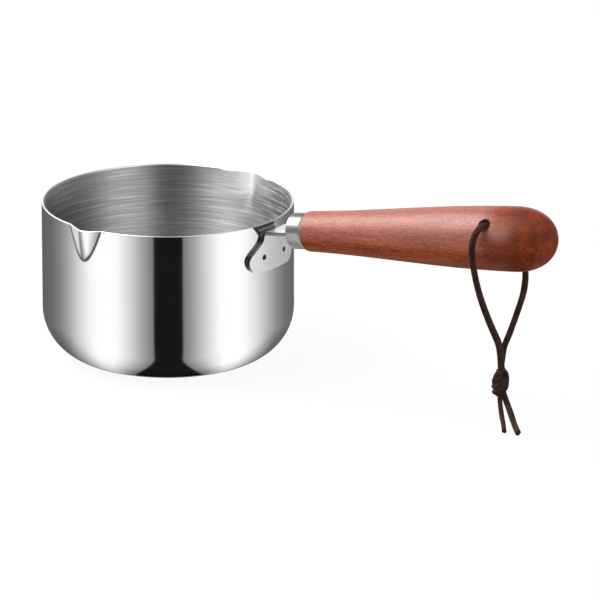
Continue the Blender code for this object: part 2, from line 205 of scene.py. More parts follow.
# Where the wood's look changes, along the handle or from the hole's axis: mottled tip,
# darker end, painted shade at the end, wax and painted sheen, painted shade in the hole
TIP_SPAN = (WOOD_TIP - 0.0085, WOOD_TIP - 0.006)
WOOD_END_SPAN = (HOLE_PLACE - 0.004, HOLE_PLACE + 0.009)
PAINTED_SHADE_END_SPAN = (HOLE_PLACE + 0.005, HOLE_PLACE + 0.014)
WAX_END_SPAN = (HOLE_PLACE - 0.006, HOLE_PLACE + 0.006)
HOLE_SHADE_SPAN = (0.0021, 0.0026)

# Finishes
WHITE = (1.0, 1.0, 1.0)
POLISHED_TONE = (0.8, 0.8, 0.8)
# Painted shade in the spouts' creases
PAINTED_CREASE_SHADE_TONE = (0.07, 0.07, 0.075)
# Painted dark reflection of the tongue on the wall over it
PAINTED_REFLECTION_TONE = (0.08, 0.08, 0.085)
BRUSHED_TONES = ((0.36, 0.45), (0.48, 0.57), (0.56, 0.68), (0.64, 0.95))
WORN_TONE = (0.28, 0.28, 0.28)
# Painted highlight inside each spout
PAINTED_GLEAM_TONE = (0.97, 0.97, 0.97)
RIM_TONE = (0.83, 0.83, 0.83)
BURNT_TONE = (0.02, 0.02, 0.022)
# Tongue's cut edge, less dark than the other cut edges, whose dark tone is partly painted shade
TONGUE_EDGE_TONE = (0.2, 0.2, 0.2)
WOOD_TONES = (
    (0.38, (0.2, 0.026, 0.006)), (0.5, (0.35, 0.052, 0.013)), (0.62, (0.5, 0.1, 0.03)),
)
FLECK_TONE = (0.66, 0.2, 0.05)
PORE_TONE = (0.13, 0.02, 0.006)
# Wood darker towards its end
WOOD_END_TONE = (0.16, 0.026, 0.007)
# Painted shade on the end's upper near side
PAINTED_SHADE_END_TONE = (0.09, 0.018, 0.008)
# Painted highlight on the wood: sheen on its waxed side and a spot beside the hole
PAINTED_WOOD_HIGHLIGHT_TONE = (0.6, 0.4, 0.38)
# Painted shade in the cross hole
HOLE_PAINTED_SHADE_TONE = (0.02, 0.008, 0.005)
LEATHER_TONES = ((0.3, (0.017, 0.007, 0.005)), (0.7, (0.075, 0.033, 0.025)))

# Leather lace: the routes of the part's cord nodes with small shifts, in millimetres
MM = 0.001
LACE_THINNESS = 0.8
LACE_SQUARENESS = 0.8
# Waves in its width, as (share, spacing, start)
LACE_WAVES = ((0.025, 0.0031, 0.0), (0.02, 0.0013, 1.0))
FIBRES_ROUND = 1.6
FIBRE_LENGTH = 0.004
FRONT_LEG_WIDTH = 0.00265
REAR_LEG_WIDTH = 0.0021
FRONT_TAIL_WIDTH = 0.0016
REAR_TAIL_WIDTH = 0.002
KNOT_LEAD = 0.002
LACE_SIDES = 20
LACE_STEP = 0.0006
CORD_FRONT_LEG = (
    (133.96, -0.12, 63.91), (133.74, -2.13, 65.46), (133.52, -4.14, 67.02),
    (133.30, -6.15, 68.57), (133.10, -8.00, 69.66), (132.87, -10.02, 70.04),
    (132.67, -11.88, 69.41), (132.51, -13.36, 68.05), (132.41, -14.42, 66.34),
    (132.42, -15.03, 64.05), (132.55, -15.20, 61.60), (132.75, -14.98, 59.00),
    (132.97, -14.40, 55.80), (133.20, -13.25, 51.60), (133.40, -11.21, 46.24),
    (133.60, -7.86, 39.58), (133.85, -4.20, 33.15), (134.10, -1.60, 28.60),
    (134.2, -0.37, 24.60), (134.34, 0.12, 19.40),
)
CORD_REAR_LEG = (
    (133.99, 0.12, 63.73), (134.24, 2.36, 61.99), (134.50, 4.73, 60.16),
    (134.76, 7.09, 58.33), (134.98, 9.50, 56.20), (135.10, 11.60, 53.40),
    (135.10, 12.90, 49.80), (135.00, 13.00, 45.60), (134.80, 11.84, 41.16),
    (134.55, 8.60, 35.50), (134.20, 5.20, 30.00), (133.5, 3.08, 25.60),
    (132.84, 2.47, 19.40),
)
CORD_FRONT_TAIL = (
    (133.60, 0.35, 10.40), (134.90, -1.20, 7.40), (136.90, -3.40, 4.60),
    (139.40, -6.10, 2.40), (141.60, -9.00, 1.30),
)
CORD_REAR_TAIL = (
    (133.70, 2.30, 10.30), (135.50, 1.50, 7.70), (138.70, -0.75, 4.80),
    (142.40, -4.00, 2.30), (146.20, -7.70, 1.25),
)

# Knot: its turns as (drop, reach, turns), its strands as points (depth, across, rise)
KNOT_CENTRE = Vector((0.1334, 0.0012, 0.0144))
KNOT_CORE = 0.0006
KNOT_START = -0.55
KNOT_TUCK = 5.0
KNOT_SLANT = 0.0012
KNOT_RISE = 0.001
KNOT_TURN_STEPS = 60
KNOT_TURN_SECTION = (0.0024, 0.0015)
KNOT_STRAND_SECTION = (0.0021, 0.0017)
KNOT_TURNS = ((-0.0026, 0.0017, 1.1), (-0.0007, 0.0019, 1.15), (0.0012, 0.0018, 1.1))
KNOT_STRANDS = (
    ((0.0, -0.0006, 0.0040), (0.0004, -0.0007, 0.0024), (0.0, -0.0007, -0.002), (0.0, -0.0007, -0.0050)),
    ((0.0, 0.0007, 0.0040), (-0.0002, 0.0008, 0.0022), (0.0, 0.0008, -0.002), (0.0, 0.0009, -0.0050)),
    ((0.0006, 0.0001, -0.0034), (0.0012, 0.0015, -0.0022), (0.0013, 0.0019, 0.0),
     (0.0013, 0.0018, 0.0024), (0.0010, 0.0008, 0.0038), (0.0002, -0.0006, 0.0038)),
    ((0.0002, 0.0012, 0.0040), (0.0010, -0.0002, 0.0036), (0.0011, -0.0014, 0.0022),
     (0.0010, -0.0019, 0.0006), (0.0005, -0.0020, -0.0008)),
)

# Studio: strength of the panels round the object, by the angle to the right of the camera
CAMERA_SIDE = Vector((CAMERA_PLACE[0], CAMERA_PLACE[1], 0.0)).normalized()
CAMERA_RIGHT = Vector((-CAMERA_SIDE.y, CAMERA_SIDE.x, 0.0))
CAMERA_HEIGHT = math.radians(17.6)
LOW_PANELS = (
    (0.0, 0.008), (12.6, 0.008), (13.8, 0.19), (18.2, 0.26), (25.6, 0.4), (33.2, 0.6),
    (40.8, 0.79), (48.8, 0.96), (58.0, 1.0), (66.0, 1.0), (74.2, 0.93), (83.6, 0.78),
    (93.8, 0.59), (105.0, 0.39), (118.0, 0.235), (134.0, 0.147), (160.0, 0.11), (180.0, 0.105),
)
LOW_STRENGTH = 1.27
MIDDLE_PANELS = (
    (-180.0, 0.15), (-150.0, 0.6), (-130.0, 2.0), (-104.0, 1.3), (-88.0, 0.28), (-59.0, 0.32),
    (-32.0, 0.16), (-22.0, 0.01), (15.0, 0.01), (30.0, 0.6), (62.0, 0.9), (80.0, 0.3), (95.0, 0.08),
    (130.0, 0.08), (160.0, 0.2), (180.0, 0.15),
)
HIGH_PANELS = (
    (-180.0, 0.1), (-166.0, 0.25), (-151.0, 0.35), (-137.0, 0.6), (-118.0, 1.3), (-84.0, 1.2),
    (-72.0, 3.7), (-52.0, 3.6), (-34.0, 0.9), (-26.0, 0.5), (-20.0, 0.0), (14.0, 0.0), (20.0, 0.9),
    (38.0, 1.6), (65.0, 2.2), (92.0, 0.3), (140.0, 0.1), (180.0, 0.1),
)
TOP_PANELS = (
    (-180.0, 0.05), (-160.0, 0.5), (-135.0, 3.2), (-90.0, 3.0), (-50.0, 2.2), (-32.0, 0.9),
    (-22.0, 0.0), (16.0, 0.0), (26.0, 0.9), (50.0, 1.6), (80.0, 1.8), (120.0, 0.8), (160.0, 0.05),
    (180.0, 0.05),
)
LOW_TO_MIDDLE = (-12.0, 3.0)
MIDDLE_TO_HIGH = (27.0, 49.0)
HIGH_TO_TOP = (56.0, 66.0)
BACK_PANEL = 1.3
BACK_HEIGHTS = (0.48, 0.36)
BACK_SIDES = (-0.8, -0.93)
SIDE_PANEL = 1.1
SIDE_HEIGHTS = (0.3, 0.2)
SIDE_RIGHTS = (0.55, 0.75)

# Light from below: spans of a direction's height, side or angle where it changes
FLARE_HEIGHTS = (-0.31, -0.5)
FLARE_SIDES = (-0.2, -0.5)
FLARE_SPREAD = (0.43, -0.95)
FLARE_POWER = 1.3
FLARE_ANGLES = (0.6, 1.6)
FLARE_GAP = 0.57
FAR_SIDES = (-0.8, -0.88)
FAR_ANGLE = 2.6
DIM_HEIGHTS = (-0.36, -0.58)
DIM_SIDES = (-0.2, -0.9)
DIM_SHARE = 0.42
OUTER_SIDES = (0.25, -0.35)
OUTER_LEVELS = (0.9, 1.09)

# Floor and lamp
FLOOR_SIZE = 6.0
FLOOR_DROP = 0.0002
FLOOR_GLOW = 0.92
FLOOR_LIT_TONE = (0.42, 0.42, 0.42)
FLOOR_SEEN_TONE = (0.95, 0.95, 0.95)
SOFTBOX_PLACE = Vector((-0.5, -0.277, 0.811))
SOFTBOX_AIM = Vector((0.09, 0.0, 0.05))
SOFTBOX_WIDTH = 0.85
SOFTBOX_LENGTH = 0.5
SOFTBOX_POWER = 6.8


def add_node(tree, kind, inputs=None, **settings):
    """New shader node, with its settings and with values or sockets for its inputs."""
    node = tree.nodes.new("ShaderNode" + kind)
    for name, value in settings.items():
        setattr(node, name, value)
    for key, value in (inputs or {}).items():
        if isinstance(value, bpy.types.NodeSocket):
            tree.links.new(value, node.inputs[key])
        else:
            node.inputs[key].default_value = value
    return node


def calculate(tree, operation, *values):
    """Result of a Math node."""
    return add_node(tree, "Math", dict(enumerate(values)), operation=operation).outputs[0]


def multiply(tree, first, second):
    """Product of two values."""
    return calculate(tree, 'MULTIPLY', first, second)


def one_minus(tree, share):
    """What a share leaves of 1."""
    return calculate(tree, 'SUBTRACT', 1.0, share)


def calculate_vector(tree, operation, *values):
    """Vector result of a Vector Math node."""
    return add_node(tree, "VectorMath", dict(enumerate(values)), operation=operation).outputs[0]


def vector_length(tree, vector):
    """Length of a vector."""
    return add_node(tree, "VectorMath", {0: vector}, operation='LENGTH').outputs["Value"]


def measure_along(tree, direction, axis):
    """How far a direction points along an axis."""
    node = add_node(tree, "VectorMath", {0: direction, 1: axis}, operation='DOT_PRODUCT')
    return node.outputs["Value"]


def flattened(tree, vector):
    """A vector without its Z."""
    return calculate_vector(tree, 'MULTIPLY', vector, (1.0, 1.0, 0.0))


def coordinate(tree, vector, axis):
    """One coordinate of a vector."""
    return add_node(tree, "SeparateXYZ", {0: vector}).outputs[axis]


def read_layer(tree, name, output="Fac"):
    """What a layer of the mesh holds."""
    return add_node(tree, "Attribute", attribute_name=name).outputs[output]


def noise(tree, place, scale, detail, roughness):
    """Noise at a place, as one value."""
    node = add_node(
        tree, "TexNoise",
        {"Vector": place, "Scale": scale, "Detail": detail, "Roughness": roughness},
    )
    return node.outputs["Fac"]


def remap(tree, value, low, high, new_low=0.0, new_high=1.0, smooth=True):
    """A value carried from one span to another, held at both ends."""
    node = add_node(
        tree, "MapRange",
        {"Value": value, "From Min": low, "From Max": high, "To Min": new_low, "To Max": new_high},
        interpolation_type='SMOOTHSTEP' if smooth else 'LINEAR',
    )
    return node.outputs["Result"]


def between(tree, share, low, high):
    """A share from 0 to 1, carried to between two values."""
    return remap(tree, share, 0.0, 1.0, low, high)


def ramp(tree, value, stops):
    """Colour ramp through (place, colour) stops; a colour may be one grey value."""
    node = add_node(tree, "ValToRGB", {"Fac": value})
    elements = node.color_ramp.elements
    for place, _ in stops[2:]:
        elements.new(place)
    for element, (place, colour) in zip(elements, stops):
        element.position = place
        element.color = (*(grey(colour) if isinstance(colour, float) else colour), 1.0)
    return node.outputs["Color"]


def grey(level):
    """Grey colour of a level."""
    return (level, level, level)


def mix_colour(tree, factor, first, second, blend='MIX'):
    """Two colours mixed by a factor."""
    first, second = [
        colour if isinstance(colour, bpy.types.NodeSocket) else (*colour, 1.0)
        for colour in (first, second)
    ]
    inputs = {0: factor, 6: first, 7: second}
    return add_node(tree, "Mix", inputs, data_type='RGBA', blend_type=blend).outputs[2]


def mix_shader(tree, factor, first, second):
    """Two shaders mixed by a factor."""
    inputs = {0: factor, 1: first.outputs[0], 2: second.outputs[0]}
    return add_node(tree, "MixShader", inputs)


def new_group(name, numbers, result):
    """Empty shader node group and its inputs, which are a vector and some numbers."""
    group = bpy.data.node_groups.new(name, "ShaderNodeTree")
    group.interface.new_socket("Vector", in_out='INPUT', socket_type='NodeSocketVector')
    for number in numbers:
        group.interface.new_socket(number, in_out='INPUT', socket_type='NodeSocketFloat')
    group.interface.new_socket(result, in_out='OUTPUT', socket_type='NodeSocketFloat')
    return group, group.nodes.new("NodeGroupInput").outputs


def give_result(group, value):
    """Lead a value out of a node group."""
    group.links.new(value, group.nodes.new("NodeGroupOutput").inputs[0])


def make_brush_group():
    """Fine lines that run round the Z axis, as a lathe or a belt leaves them in steel."""
    group, source = new_group("brush_lines", ("Spacing", "Length"), "Lines")
    flat = flattened(group, source["Vector"])
    height = coordinate(group, source["Vector"], "Z")
    along = calculate(group, 'SUBTRACT', height, vector_length(group, flat))
    lines = calculate(group, 'DIVIDE', along, source["Spacing"])
    turns = calculate(group, 'DIVIDE', POT_RADIUS, source["Length"])
    around = calculate_vector(group, 'NORMALIZE', flat)
    spread = add_node(group, "VectorMath", {0: around, "Scale": turns}, operation='SCALE')
    upright = add_node(group, "CombineXYZ", {"Z": lines})
    place = calculate_vector(group, 'ADD', spread.outputs[0], upright.outputs[0])
    give_result(group, noise(group, place, 1.0, 4.0, 0.62))


def make_patches_group():
    """Soft patches, as handling leaves them on a surface."""
    group, source = new_group("soft_patches", ("Size",), "Patches")
    scale = calculate(group, 'DIVIDE', 1.0, source["Size"])
    cloud = noise(group, source["Vector"], scale, 3.0, 0.5)
    give_result(group, remap(group, cloud, 0.35, 0.65))


def brush_lines(tree, place, spacing, length):
    """Brush lines in a material."""
    inputs = {"Vector": place, "Spacing": spacing, "Length": length}
    group = bpy.data.node_groups["brush_lines"]
    return add_node(tree, "Group", inputs, node_tree=group).outputs["Lines"]


def soft_patches(tree, place, size):
    """Soft patches in a material."""
    inputs = {"Vector": place, "Size": size}
    group = bpy.data.node_groups["soft_patches"]
    return add_node(tree, "Group", inputs, node_tree=group).outputs["Patches"]


def new_material(name, **constants):
    """Material with its Principled shader, whose constants are set on its own sockets."""
    material = bpy.data.materials.new(name)
    material.use_nodes = True
    tree = material.node_tree
    shader = tree.nodes["Principled BSDF"]
    for socket, value in constants.items():
        shader.inputs[socket.replace("_", " ")].default_value = value
    return material, tree, shader, add_node(tree, "TexCoord").outputs["Object"]


def drive(tree, shader, **values):
    """Link values to the shader's sockets."""
    for socket, value in values.items():
        tree.links.new(value, shader.inputs[socket.replace("_", " ")])


def add_bump(tree, shader, height, distance):
    """Relief under the shader's surface, whose distance is in metres."""
    bump = add_node(tree, "Bump", {"Height": height, "Distance": distance})
    drive(tree, shader, Normal=bump.outputs["Normal"])


def turned_tangent(tree, axis):
    """Tangent that runs round an axis, for the sheen of brushed metal."""
    node = add_node(tree, "Tangent", direction_type='RADIAL', axis=axis)
    return node.outputs["Tangent"]


def in_handle_frame(tree, place):
    """Object coordinates carried to the handle's own frame, whose Z runs along it."""
    inputs = {
        "Vector": place, "Location": HANDLE_FRAME.translation, "Rotation": HANDLE_FRAME.to_euler(),
    }
    return add_node(tree, "Mapping", inputs, vector_type='TEXTURE').outputs["Vector"]


def painted_reflection_over_tongue(tree, place):
    """Strip of the wall over the bracket's tongue, where a dark reflection of the tongue is painted."""
    split = add_node(tree, "SeparateXYZ", {0: place}).outputs
    above = calculate(tree, 'SUBTRACT', split["Z"], HANDLE_AXIS_HEIGHT)
    leaning = calculate(tree, 'ADD', split["Y"], multiply(tree, above, PAINTED_REFLECTION_SLOPE))
    off_centre = calculate(tree, 'ABSOLUTE', calculate(tree, 'SUBTRACT', leaning, PAINTED_REFLECTION_CENTRE))
    across = remap(
        tree, off_centre, PAINTED_REFLECTION_HALF_WIDTH - PAINTED_REFLECTION_BLUR, PAINTED_REFLECTION_HALF_WIDTH + PAINTED_REFLECTION_BLUR, 1.0, 0.0,
    )
    level = calculate(tree, 'GREATER_THAN', above, 0.0)
    handle_side = calculate(tree, 'GREATER_THAN', split["X"], 0.0)
    return multiply(tree, across, multiply(tree, level, handle_side))


def make_polished_steel():
    """Outside of the pot: mirror polish with faint wipe marks, painted shade in the spouts' creases and a
    painted dark reflection of the tongue on the wall over it.
    """
    material, tree, shader, place = new_material("polished_steel", Metallic=1.0)
    # Painted shade in the spouts' creases, from the mesh's crease layer
    colour = mix_colour(tree, read_layer(tree, "crease"), POLISHED_TONE, PAINTED_CREASE_SHADE_TONE)
    # Painted dark reflection of the tongue on the wall over it
    painted_reflection = multiply(tree, painted_reflection_over_tongue(tree, place), PAINTED_REFLECTION_STRENGTH)
    colour = mix_colour(tree, painted_reflection, colour, PAINTED_REFLECTION_TONE)
    roughness = between(tree, soft_patches(tree, place, size=0.018), 0.045, 0.075)
    drive(tree, shader, Base_Color=colour, Roughness=roughness)
    lines = brush_lines(tree, place, spacing=0.0006, length=0.03)
    add_bump(tree, shader, lines, 0.0000015)
    return material


def make_brushed_steel():
    """Inside of the pot: fine lines round its axis, with worn streaks and bright streaks painted as glints
    at its handle side, and a painted highlight inside each spout.
    """
    material, tree, shader, place = new_material(
        "brushed_steel", Metallic=1.0, Anisotropic=1.0, Anisotropic_Rotation=0.25,
    )
    fine = brush_lines(tree, place, spacing=0.00028, length=0.016)
    broad = brush_lines(tree, place, spacing=0.0008, length=0.035)
    streaks = brush_lines(tree, place, spacing=0.0009, length=0.016)
    tone = mix_colour(tree, 0.35, fine, broad)
    colour = ramp(tree, tone, BRUSHED_TONES)
    handle_side = remap(tree, coordinate(tree, place, "X"), 0.0, 0.02)
    worn = multiply(tree, remap(tree, streaks, 0.52, 0.44), handle_side)
    colour = mix_colour(tree, multiply(tree, worn, 0.7), colour, WORN_TONE)
    # Bright streaks painted as glints, only on the handle side
    painted_glints = multiply(tree, remap(tree, streaks, 0.54, 0.58), handle_side)
    colour = mix_colour(tree, painted_glints, colour, WHITE)
    # Painted highlight inside each spout, from the mesh's crease layer
    gleam = read_layer(tree, "crease")
    colour = mix_colour(tree, gleam, colour, PAINTED_GLEAM_TONE)
    roughness = between(tree, soft_patches(tree, place, size=0.012), 0.4, 0.44)
    roughness = calculate(tree, 'ADD', roughness, multiply(tree, gleam, 0.15))
    drive(tree, shader, Base_Color=colour, Roughness=roughness, Tangent=turned_tangent(tree, 'Z'))
    add_bump(tree, shader, tone, 0.00006)
    return material


def make_rim_steel():
    """Cut edge of the sheet, rounded and polished."""
    material, tree, shader, place = new_material(
        "rim_steel", Metallic=1.0, Base_Color=(*RIM_TONE, 1.0),
    )
    roughness = between(tree, soft_patches(tree, place, size=0.006), 0.28, 0.34)
    drive(tree, shader, Roughness=roughness)
    return material


def weld_dent_places():
    """Centres of the two spot-weld dents, on the plate's outside."""
    radius = BRACKET_INNER_RADIUS + BRACKET_SHEET
    height = POT_HEIGHT - WELD_DENT_DROP
    for side in (-0.5, 0.5):
        angle = side * WELD_DENT_SPACING / radius
        yield Vector((radius * math.cos(angle), radius * math.sin(angle), height))


def bent_out(tree, place):
    """Where the bracket's sheet has left the wall: 0 on its plate, 1 on its tongue."""
    face = BRACKET_INNER_RADIUS + BRACKET_SHEET
    reach = vector_length(tree, flattened(tree, place))
    return remap(tree, reach, face + 0.0001, face + 0.0005)


def make_bracket_steel():
    """Satin sheet, with a dark burnt spot at each weld dent."""
    material, tree, shader, place = new_material("bracket_steel")
    lines = brush_lines(tree, place, spacing=0.0003, length=0.006)
    colour = ramp(tree, lines, ((0.3, 0.88), (0.7, 0.97)))
    for centre in weld_dent_places():
        distance = vector_length(tree, calculate_vector(tree, 'SUBTRACT', place, centre))
        burnt = remap(tree, distance, 0.8 * WELD_DENT_RADIUS, 1.1 * WELD_DENT_RADIUS, 1.0, 0.0)
        colour = mix_colour(tree, burnt, colour, BURNT_TONE)
    tongue = bent_out(tree, place)
    satin = between(tree, soft_patches(tree, place, size=0.004), 0.42, 0.48)
    roughness = calculate(tree, 'SUBTRACT', satin, multiply(tree, tongue, 0.22))
    metal = between(tree, tongue, 0.6, 1.0)
    drive(tree, shader, Base_Color=colour, Roughness=roughness, Metallic=metal)
    add_bump(tree, shader, lines, 0.000008)
    return material


def make_cut_steel_with_painted_shade():
    """Stamped edge of the bracket's sheet, dull, and far darker than steel: partly its own grey, partly
    painted shade of the gap at the wall; less dark on the tongue.
    """
    material, tree, shader, place = new_material("cut_edge_painted_shade", Metallic=1.0)
    patches = soft_patches(tree, place, size=0.002)
    # Dark tone partly the cut edge's own, partly painted shade of the gap at the wall
    colour = ramp(tree, patches, ((0.0, 0.12), (1.0, 0.2)))
    colour = mix_colour(tree, bent_out(tree, place), colour, TONGUE_EDGE_TONE)
    drive(tree, shader, Base_Color=colour, Roughness=between(tree, patches, 0.3, 0.42))
    return material


def make_ferrule_steel():
    """Turned ferrule, with lathe lines round the handle's axis."""
    material, tree, shader, place = new_material(
        "ferrule_steel", Metallic=1.0, Anisotropic=0.9, Anisotropic_Rotation=0.25,
    )
    lines = brush_lines(tree, in_handle_frame(tree, place), spacing=0.00022, length=0.02)
    colour = ramp(tree, lines, ((0.3, 0.5), (0.7, 0.6)))
    roughness = remap(tree, lines, 0.3, 0.7, 0.4, 0.44)
    drive(tree, shader, Base_Color=colour, Roughness=roughness, Tangent=turned_tangent(tree, 'X'))
    add_bump(tree, shader, lines, 0.000008)
    return material


def make_zinc_steel():
    """Stud inside the handle, with lines that stand for its thread."""
    material, tree, shader, place = new_material("zinc_steel", Metallic=1.0, Roughness=0.4)
    lines = brush_lines(tree, in_handle_frame(tree, place), spacing=0.0008, length=0.05)
    drive(tree, shader, Base_Color=ramp(tree, lines, ((0.3, 0.4), (0.7, 0.58))))
    add_bump(tree, shader, lines, 0.0001)
    return material


def stretched_noise(tree, local, across, along, detail, roughness=0.55):
    """Noise drawn out along the handle's Z."""
    scaled = calculate_vector(tree, 'MULTIPLY', local, (1.0 / across, 1.0 / across, 1.0 / along))
    return noise(tree, scaled, 1.0, detail, roughness)


def wood_grain(tree, local):
    """Colour and relief of the plain wood: fine fibres, pale flecks and short dark pores."""
    broad = stretched_noise(tree, local, 0.004, 0.03, 2.0)
    fibres = stretched_noise(tree, local, 0.0005, 0.004, 4.0, 0.65)
    pores = stretched_noise(tree, local, 0.0004, 0.0016, 3.0)
    flecks = stretched_noise(tree, local, 0.00045, 0.0009, 3.0)
    colour = ramp(tree, mix_colour(tree, 0.55, broad, fibres), WOOD_TONES)
    fleck = multiply(tree, remap(tree, flecks, 0.53, 0.64), 0.5)
    colour = mix_colour(tree, fleck, colour, FLECK_TONE)
    pore = multiply(tree, remap(tree, pores, 0.55, 0.66), 0.6)
    colour = mix_colour(tree, pore, colour, PORE_TONE)
    return colour, calculate(tree, 'SUBTRACT', fibres, pore)


def darken_end_and_paint_shade(tree, local, facing, colour):
    """The wood's colour, darker towards its end, with painted shade on its upper near side past the hole,
    and mottled at the tip.
    """
    height = coordinate(tree, local, "Z")
    tip = remap(tree, height, *TIP_SPAN, 0.0, 0.85)
    mottles = multiply(tree, tip, soft_patches(tree, local, size=0.0035))
    towards_end = multiply(tree, remap(tree, height, *WOOD_END_SPAN), 0.7)
    towards_end = multiply(tree, towards_end, one_minus(tree, mottles))
    colour = mix_colour(tree, towards_end, colour, WOOD_END_TONE)
    near_side = remap(tree, facing, 0.55, 0.98, 0.0, 0.45)
    # Painted shade on the end's upper near side
    painted_end_shade = multiply(tree, remap(tree, height, *PAINTED_SHADE_END_SPAN), near_side)
    return mix_colour(tree, painted_end_shade, colour, PAINTED_SHADE_END_TONE)


def painted_shade_in_hole(tree, local):
    """How strong the painted shade is in the cross hole."""
    from_hole = calculate_vector(tree, 'SUBTRACT', local, (0.0, 0.0, HOLE_PLACE))
    off_axis = vector_length(tree, calculate_vector(tree, 'CROSS_PRODUCT', from_hole, HOLE_AXIS))
    return remap(tree, off_axis, *HOLE_SHADE_SPAN, 0.9, 0.0)


def wax_and_painted_sheen_on(tree, local, facing, painted_hole_shade):
    """How much wax the wood carries, which also sets its painted sheen: most on its upper near side, little
    at the end.
    """
    grip = remap(tree, coordinate(tree, local, "Z"), *WAX_END_SPAN, 1.0, 0.1)
    wax_and_painted_sheen = multiply(tree, remap(tree, facing, 0.45, 0.97, smooth=False), grip)
    return multiply(tree, wax_and_painted_sheen, one_minus(tree, painted_hole_shade))


def painted_highlight_by_hole(tree, local):
    """How strong the painted highlight is on the wood beside the hole."""
    from_spot = calculate_vector(tree, 'SUBTRACT', local, PAINTED_HIGHLIGHT_PLACE)
    oval = calculate_vector(tree, 'MULTIPLY', from_spot, (1.0, 1.0, 0.6))
    return remap(tree, vector_length(tree, oval), PAINTED_HIGHLIGHT_RADIUS, 0.0003, 0.0, 0.26)


def make_red_wood():
    """Reddish hardwood, waxed on one side, darker towards its end, with painted sheen on its waxed side, a
    painted highlight beside the hole, and painted shade at its end and in its hole.
    """
    material, tree, shader, place = new_material(
        "red_wood", Specular_IOR_Level=0.06, Coat_Roughness=0.5, Coat_IOR=1.75,
    )
    local = in_handle_frame(tree, place)
    around = calculate_vector(tree, 'NORMALIZE', flattened(tree, local))
    facing = measure_along(tree, around, WAXED_SIDE)
    colour, relief = wood_grain(tree, local)
    colour = darken_end_and_paint_shade(tree, local, facing, colour)
    painted_hole_shade = painted_shade_in_hole(tree, local)
    wax_and_painted_sheen = wax_and_painted_sheen_on(tree, local, facing, painted_hole_shade)
    # Painted sheen on the waxed upper near side
    colour = mix_colour(tree, multiply(tree, wax_and_painted_sheen, 0.12), colour, PAINTED_WOOD_HIGHLIGHT_TONE)
    # Painted highlight beside the hole
    colour = mix_colour(tree, painted_highlight_by_hole(tree, local), colour, PAINTED_WOOD_HIGHLIGHT_TONE)
    # Painted shade in the cross hole
    colour = mix_colour(tree, painted_hole_shade, colour, HOLE_PAINTED_SHADE_TONE)
    roughness = between(tree, soft_patches(tree, local, size=0.012), 0.32, 0.38)
    drive(tree, shader, Base_Color=colour, Roughness=roughness, Coat_Weight=wax_and_painted_sheen)
    add_bump(tree, shader, relief, 0.00006)
    return material


def make_lace_leather():
    """Dark brown leather lace, dull, with fibres along it."""
    material, tree, shader, place = new_material("lace_leather", Specular_IOR_Level=0.15)
    fibres = noise(tree, read_layer(tree, "lace_place", "Vector"), 2.5, 4.0, 0.65)
    patches = soft_patches(tree, place, size=0.003)
    colour = ramp(tree, mix_colour(tree, 0.35, fibres, patches), LEATHER_TONES)
    drive(tree, shader, Base_Color=colour, Roughness=between(tree, patches, 0.6, 0.78))
    add_bump(tree, shader, fibres, 0.00012)
    return material


def new_object(name, data):
    """New object in the scene."""
    item = bpy.data.objects.new(name, data)
    bpy.context.scene.collection.objects.link(item)
    return item


def as_object(name, bm):
    """Object whose mesh is made from a bmesh, which is freed."""
    mesh = bpy.data.meshes.new(name)
    bm.to_mesh(mesh)
    bm.free()
    return new_object(name, mesh)


def finish_piece(name, bm, body, materials, nodes, sharp_angle=60.0, shows_in_metal=True):
    """Turn a bmesh into a shown piece that stands for CAD nodes."""
    bmesh.ops.recalc_face_normals(bm, faces=bm.faces)
    piece = as_object(name, bm)
    for material in materials:
        piece.data.materials.append(material)
    piece.data.shade_smooth()
    piece.data.set_sharp_from_angle(angle=math.radians(sharp_angle))
    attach(piece, body)
    piece.visible_glossy = shows_in_metal
    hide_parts(*nodes)
    return piece


def turned(outline, steps):
    """Spin an outline of (radius, place) points round Z, closed at the poles."""
    bm = bmesh.new()
    points = [bm.verts.new((radius, 0.0, place)) for radius, place in outline]
    edges = [bm.edges.new(pair) for pair in zip(points, points[1:])]
    bmesh.ops.spin(
        bm, geom=points + edges, cent=(0, 0, 0), axis=(0, 0, 1),
        angle=FULL_TURN, steps=steps, use_merge=True,
    )
    bmesh.ops.remove_doubles(bm, verts=bm.verts, dist=0.000003)
    bmesh.ops.recalc_face_normals(bm, faces=bm.faces)
    return bm


def arc(centre, radius, start, end, steps):
    """Points (radius, place) of an arc, its angles in degrees from the radius direction."""
    for step in range(steps + 1):
        angle = math.radians(start + (end - start) * step / steps)
        yield centre[0] + radius * math.cos(angle), centre[1] + radius * math.sin(angle)


def cut_out(bm, cutter_bm):
    """Cut one closed bmesh by another, and return the result."""
    body, cutter = [as_object("cutting", part) for part in (bm, cutter_bm)]
    modifier = body.modifiers.new("cut", 'BOOLEAN')
    modifier.operation = 'DIFFERENCE'
    modifier.object = cutter
    result = bmesh.new()
    result.from_object(body, bpy.context.evaluated_depsgraph_get())
    for item in (body, cutter):
        bpy.data.meshes.remove(item.data)
    return result


def extrude_ring(bm, edges):
    """Extrude a ring of edges, and return its new verts, edges and faces."""
    made = bmesh.ops.extrude_edge_only(bm, edges=edges)["geom"]
    kinds = (bmesh.types.BMVert, bmesh.types.BMEdge, bmesh.types.BMFace)
    ring, new_edges, faces = ([part for part in made if isinstance(part, kind)] for kind in kinds)
    members = set(ring)
    new_edges = [edge for edge in new_edges if all(vert in members for vert in edge.verts)]
    return ring, new_edges, faces


def clamp(value):
    """A value held between 0 and 1."""
    return min(max(value, 0.0), 1.0)


def bell(distance, width):
    """Smooth hump, 1 in its middle and 0 from its width on."""
    return 0.5 + 0.5 * math.cos(math.pi * min(abs(distance) / width, 1.0))


def spout_half_width(rise):
    """Half width of a spout, on the wall, at a height above its foot."""
    share = max(rise, 0.0) / SPOUT_DEPTH
    return math.sqrt(2.0 * SPOUT_FOOT_RADIUS * SPOUT_DEPTH * share + SPOUT_SPREAD * share ** 2)


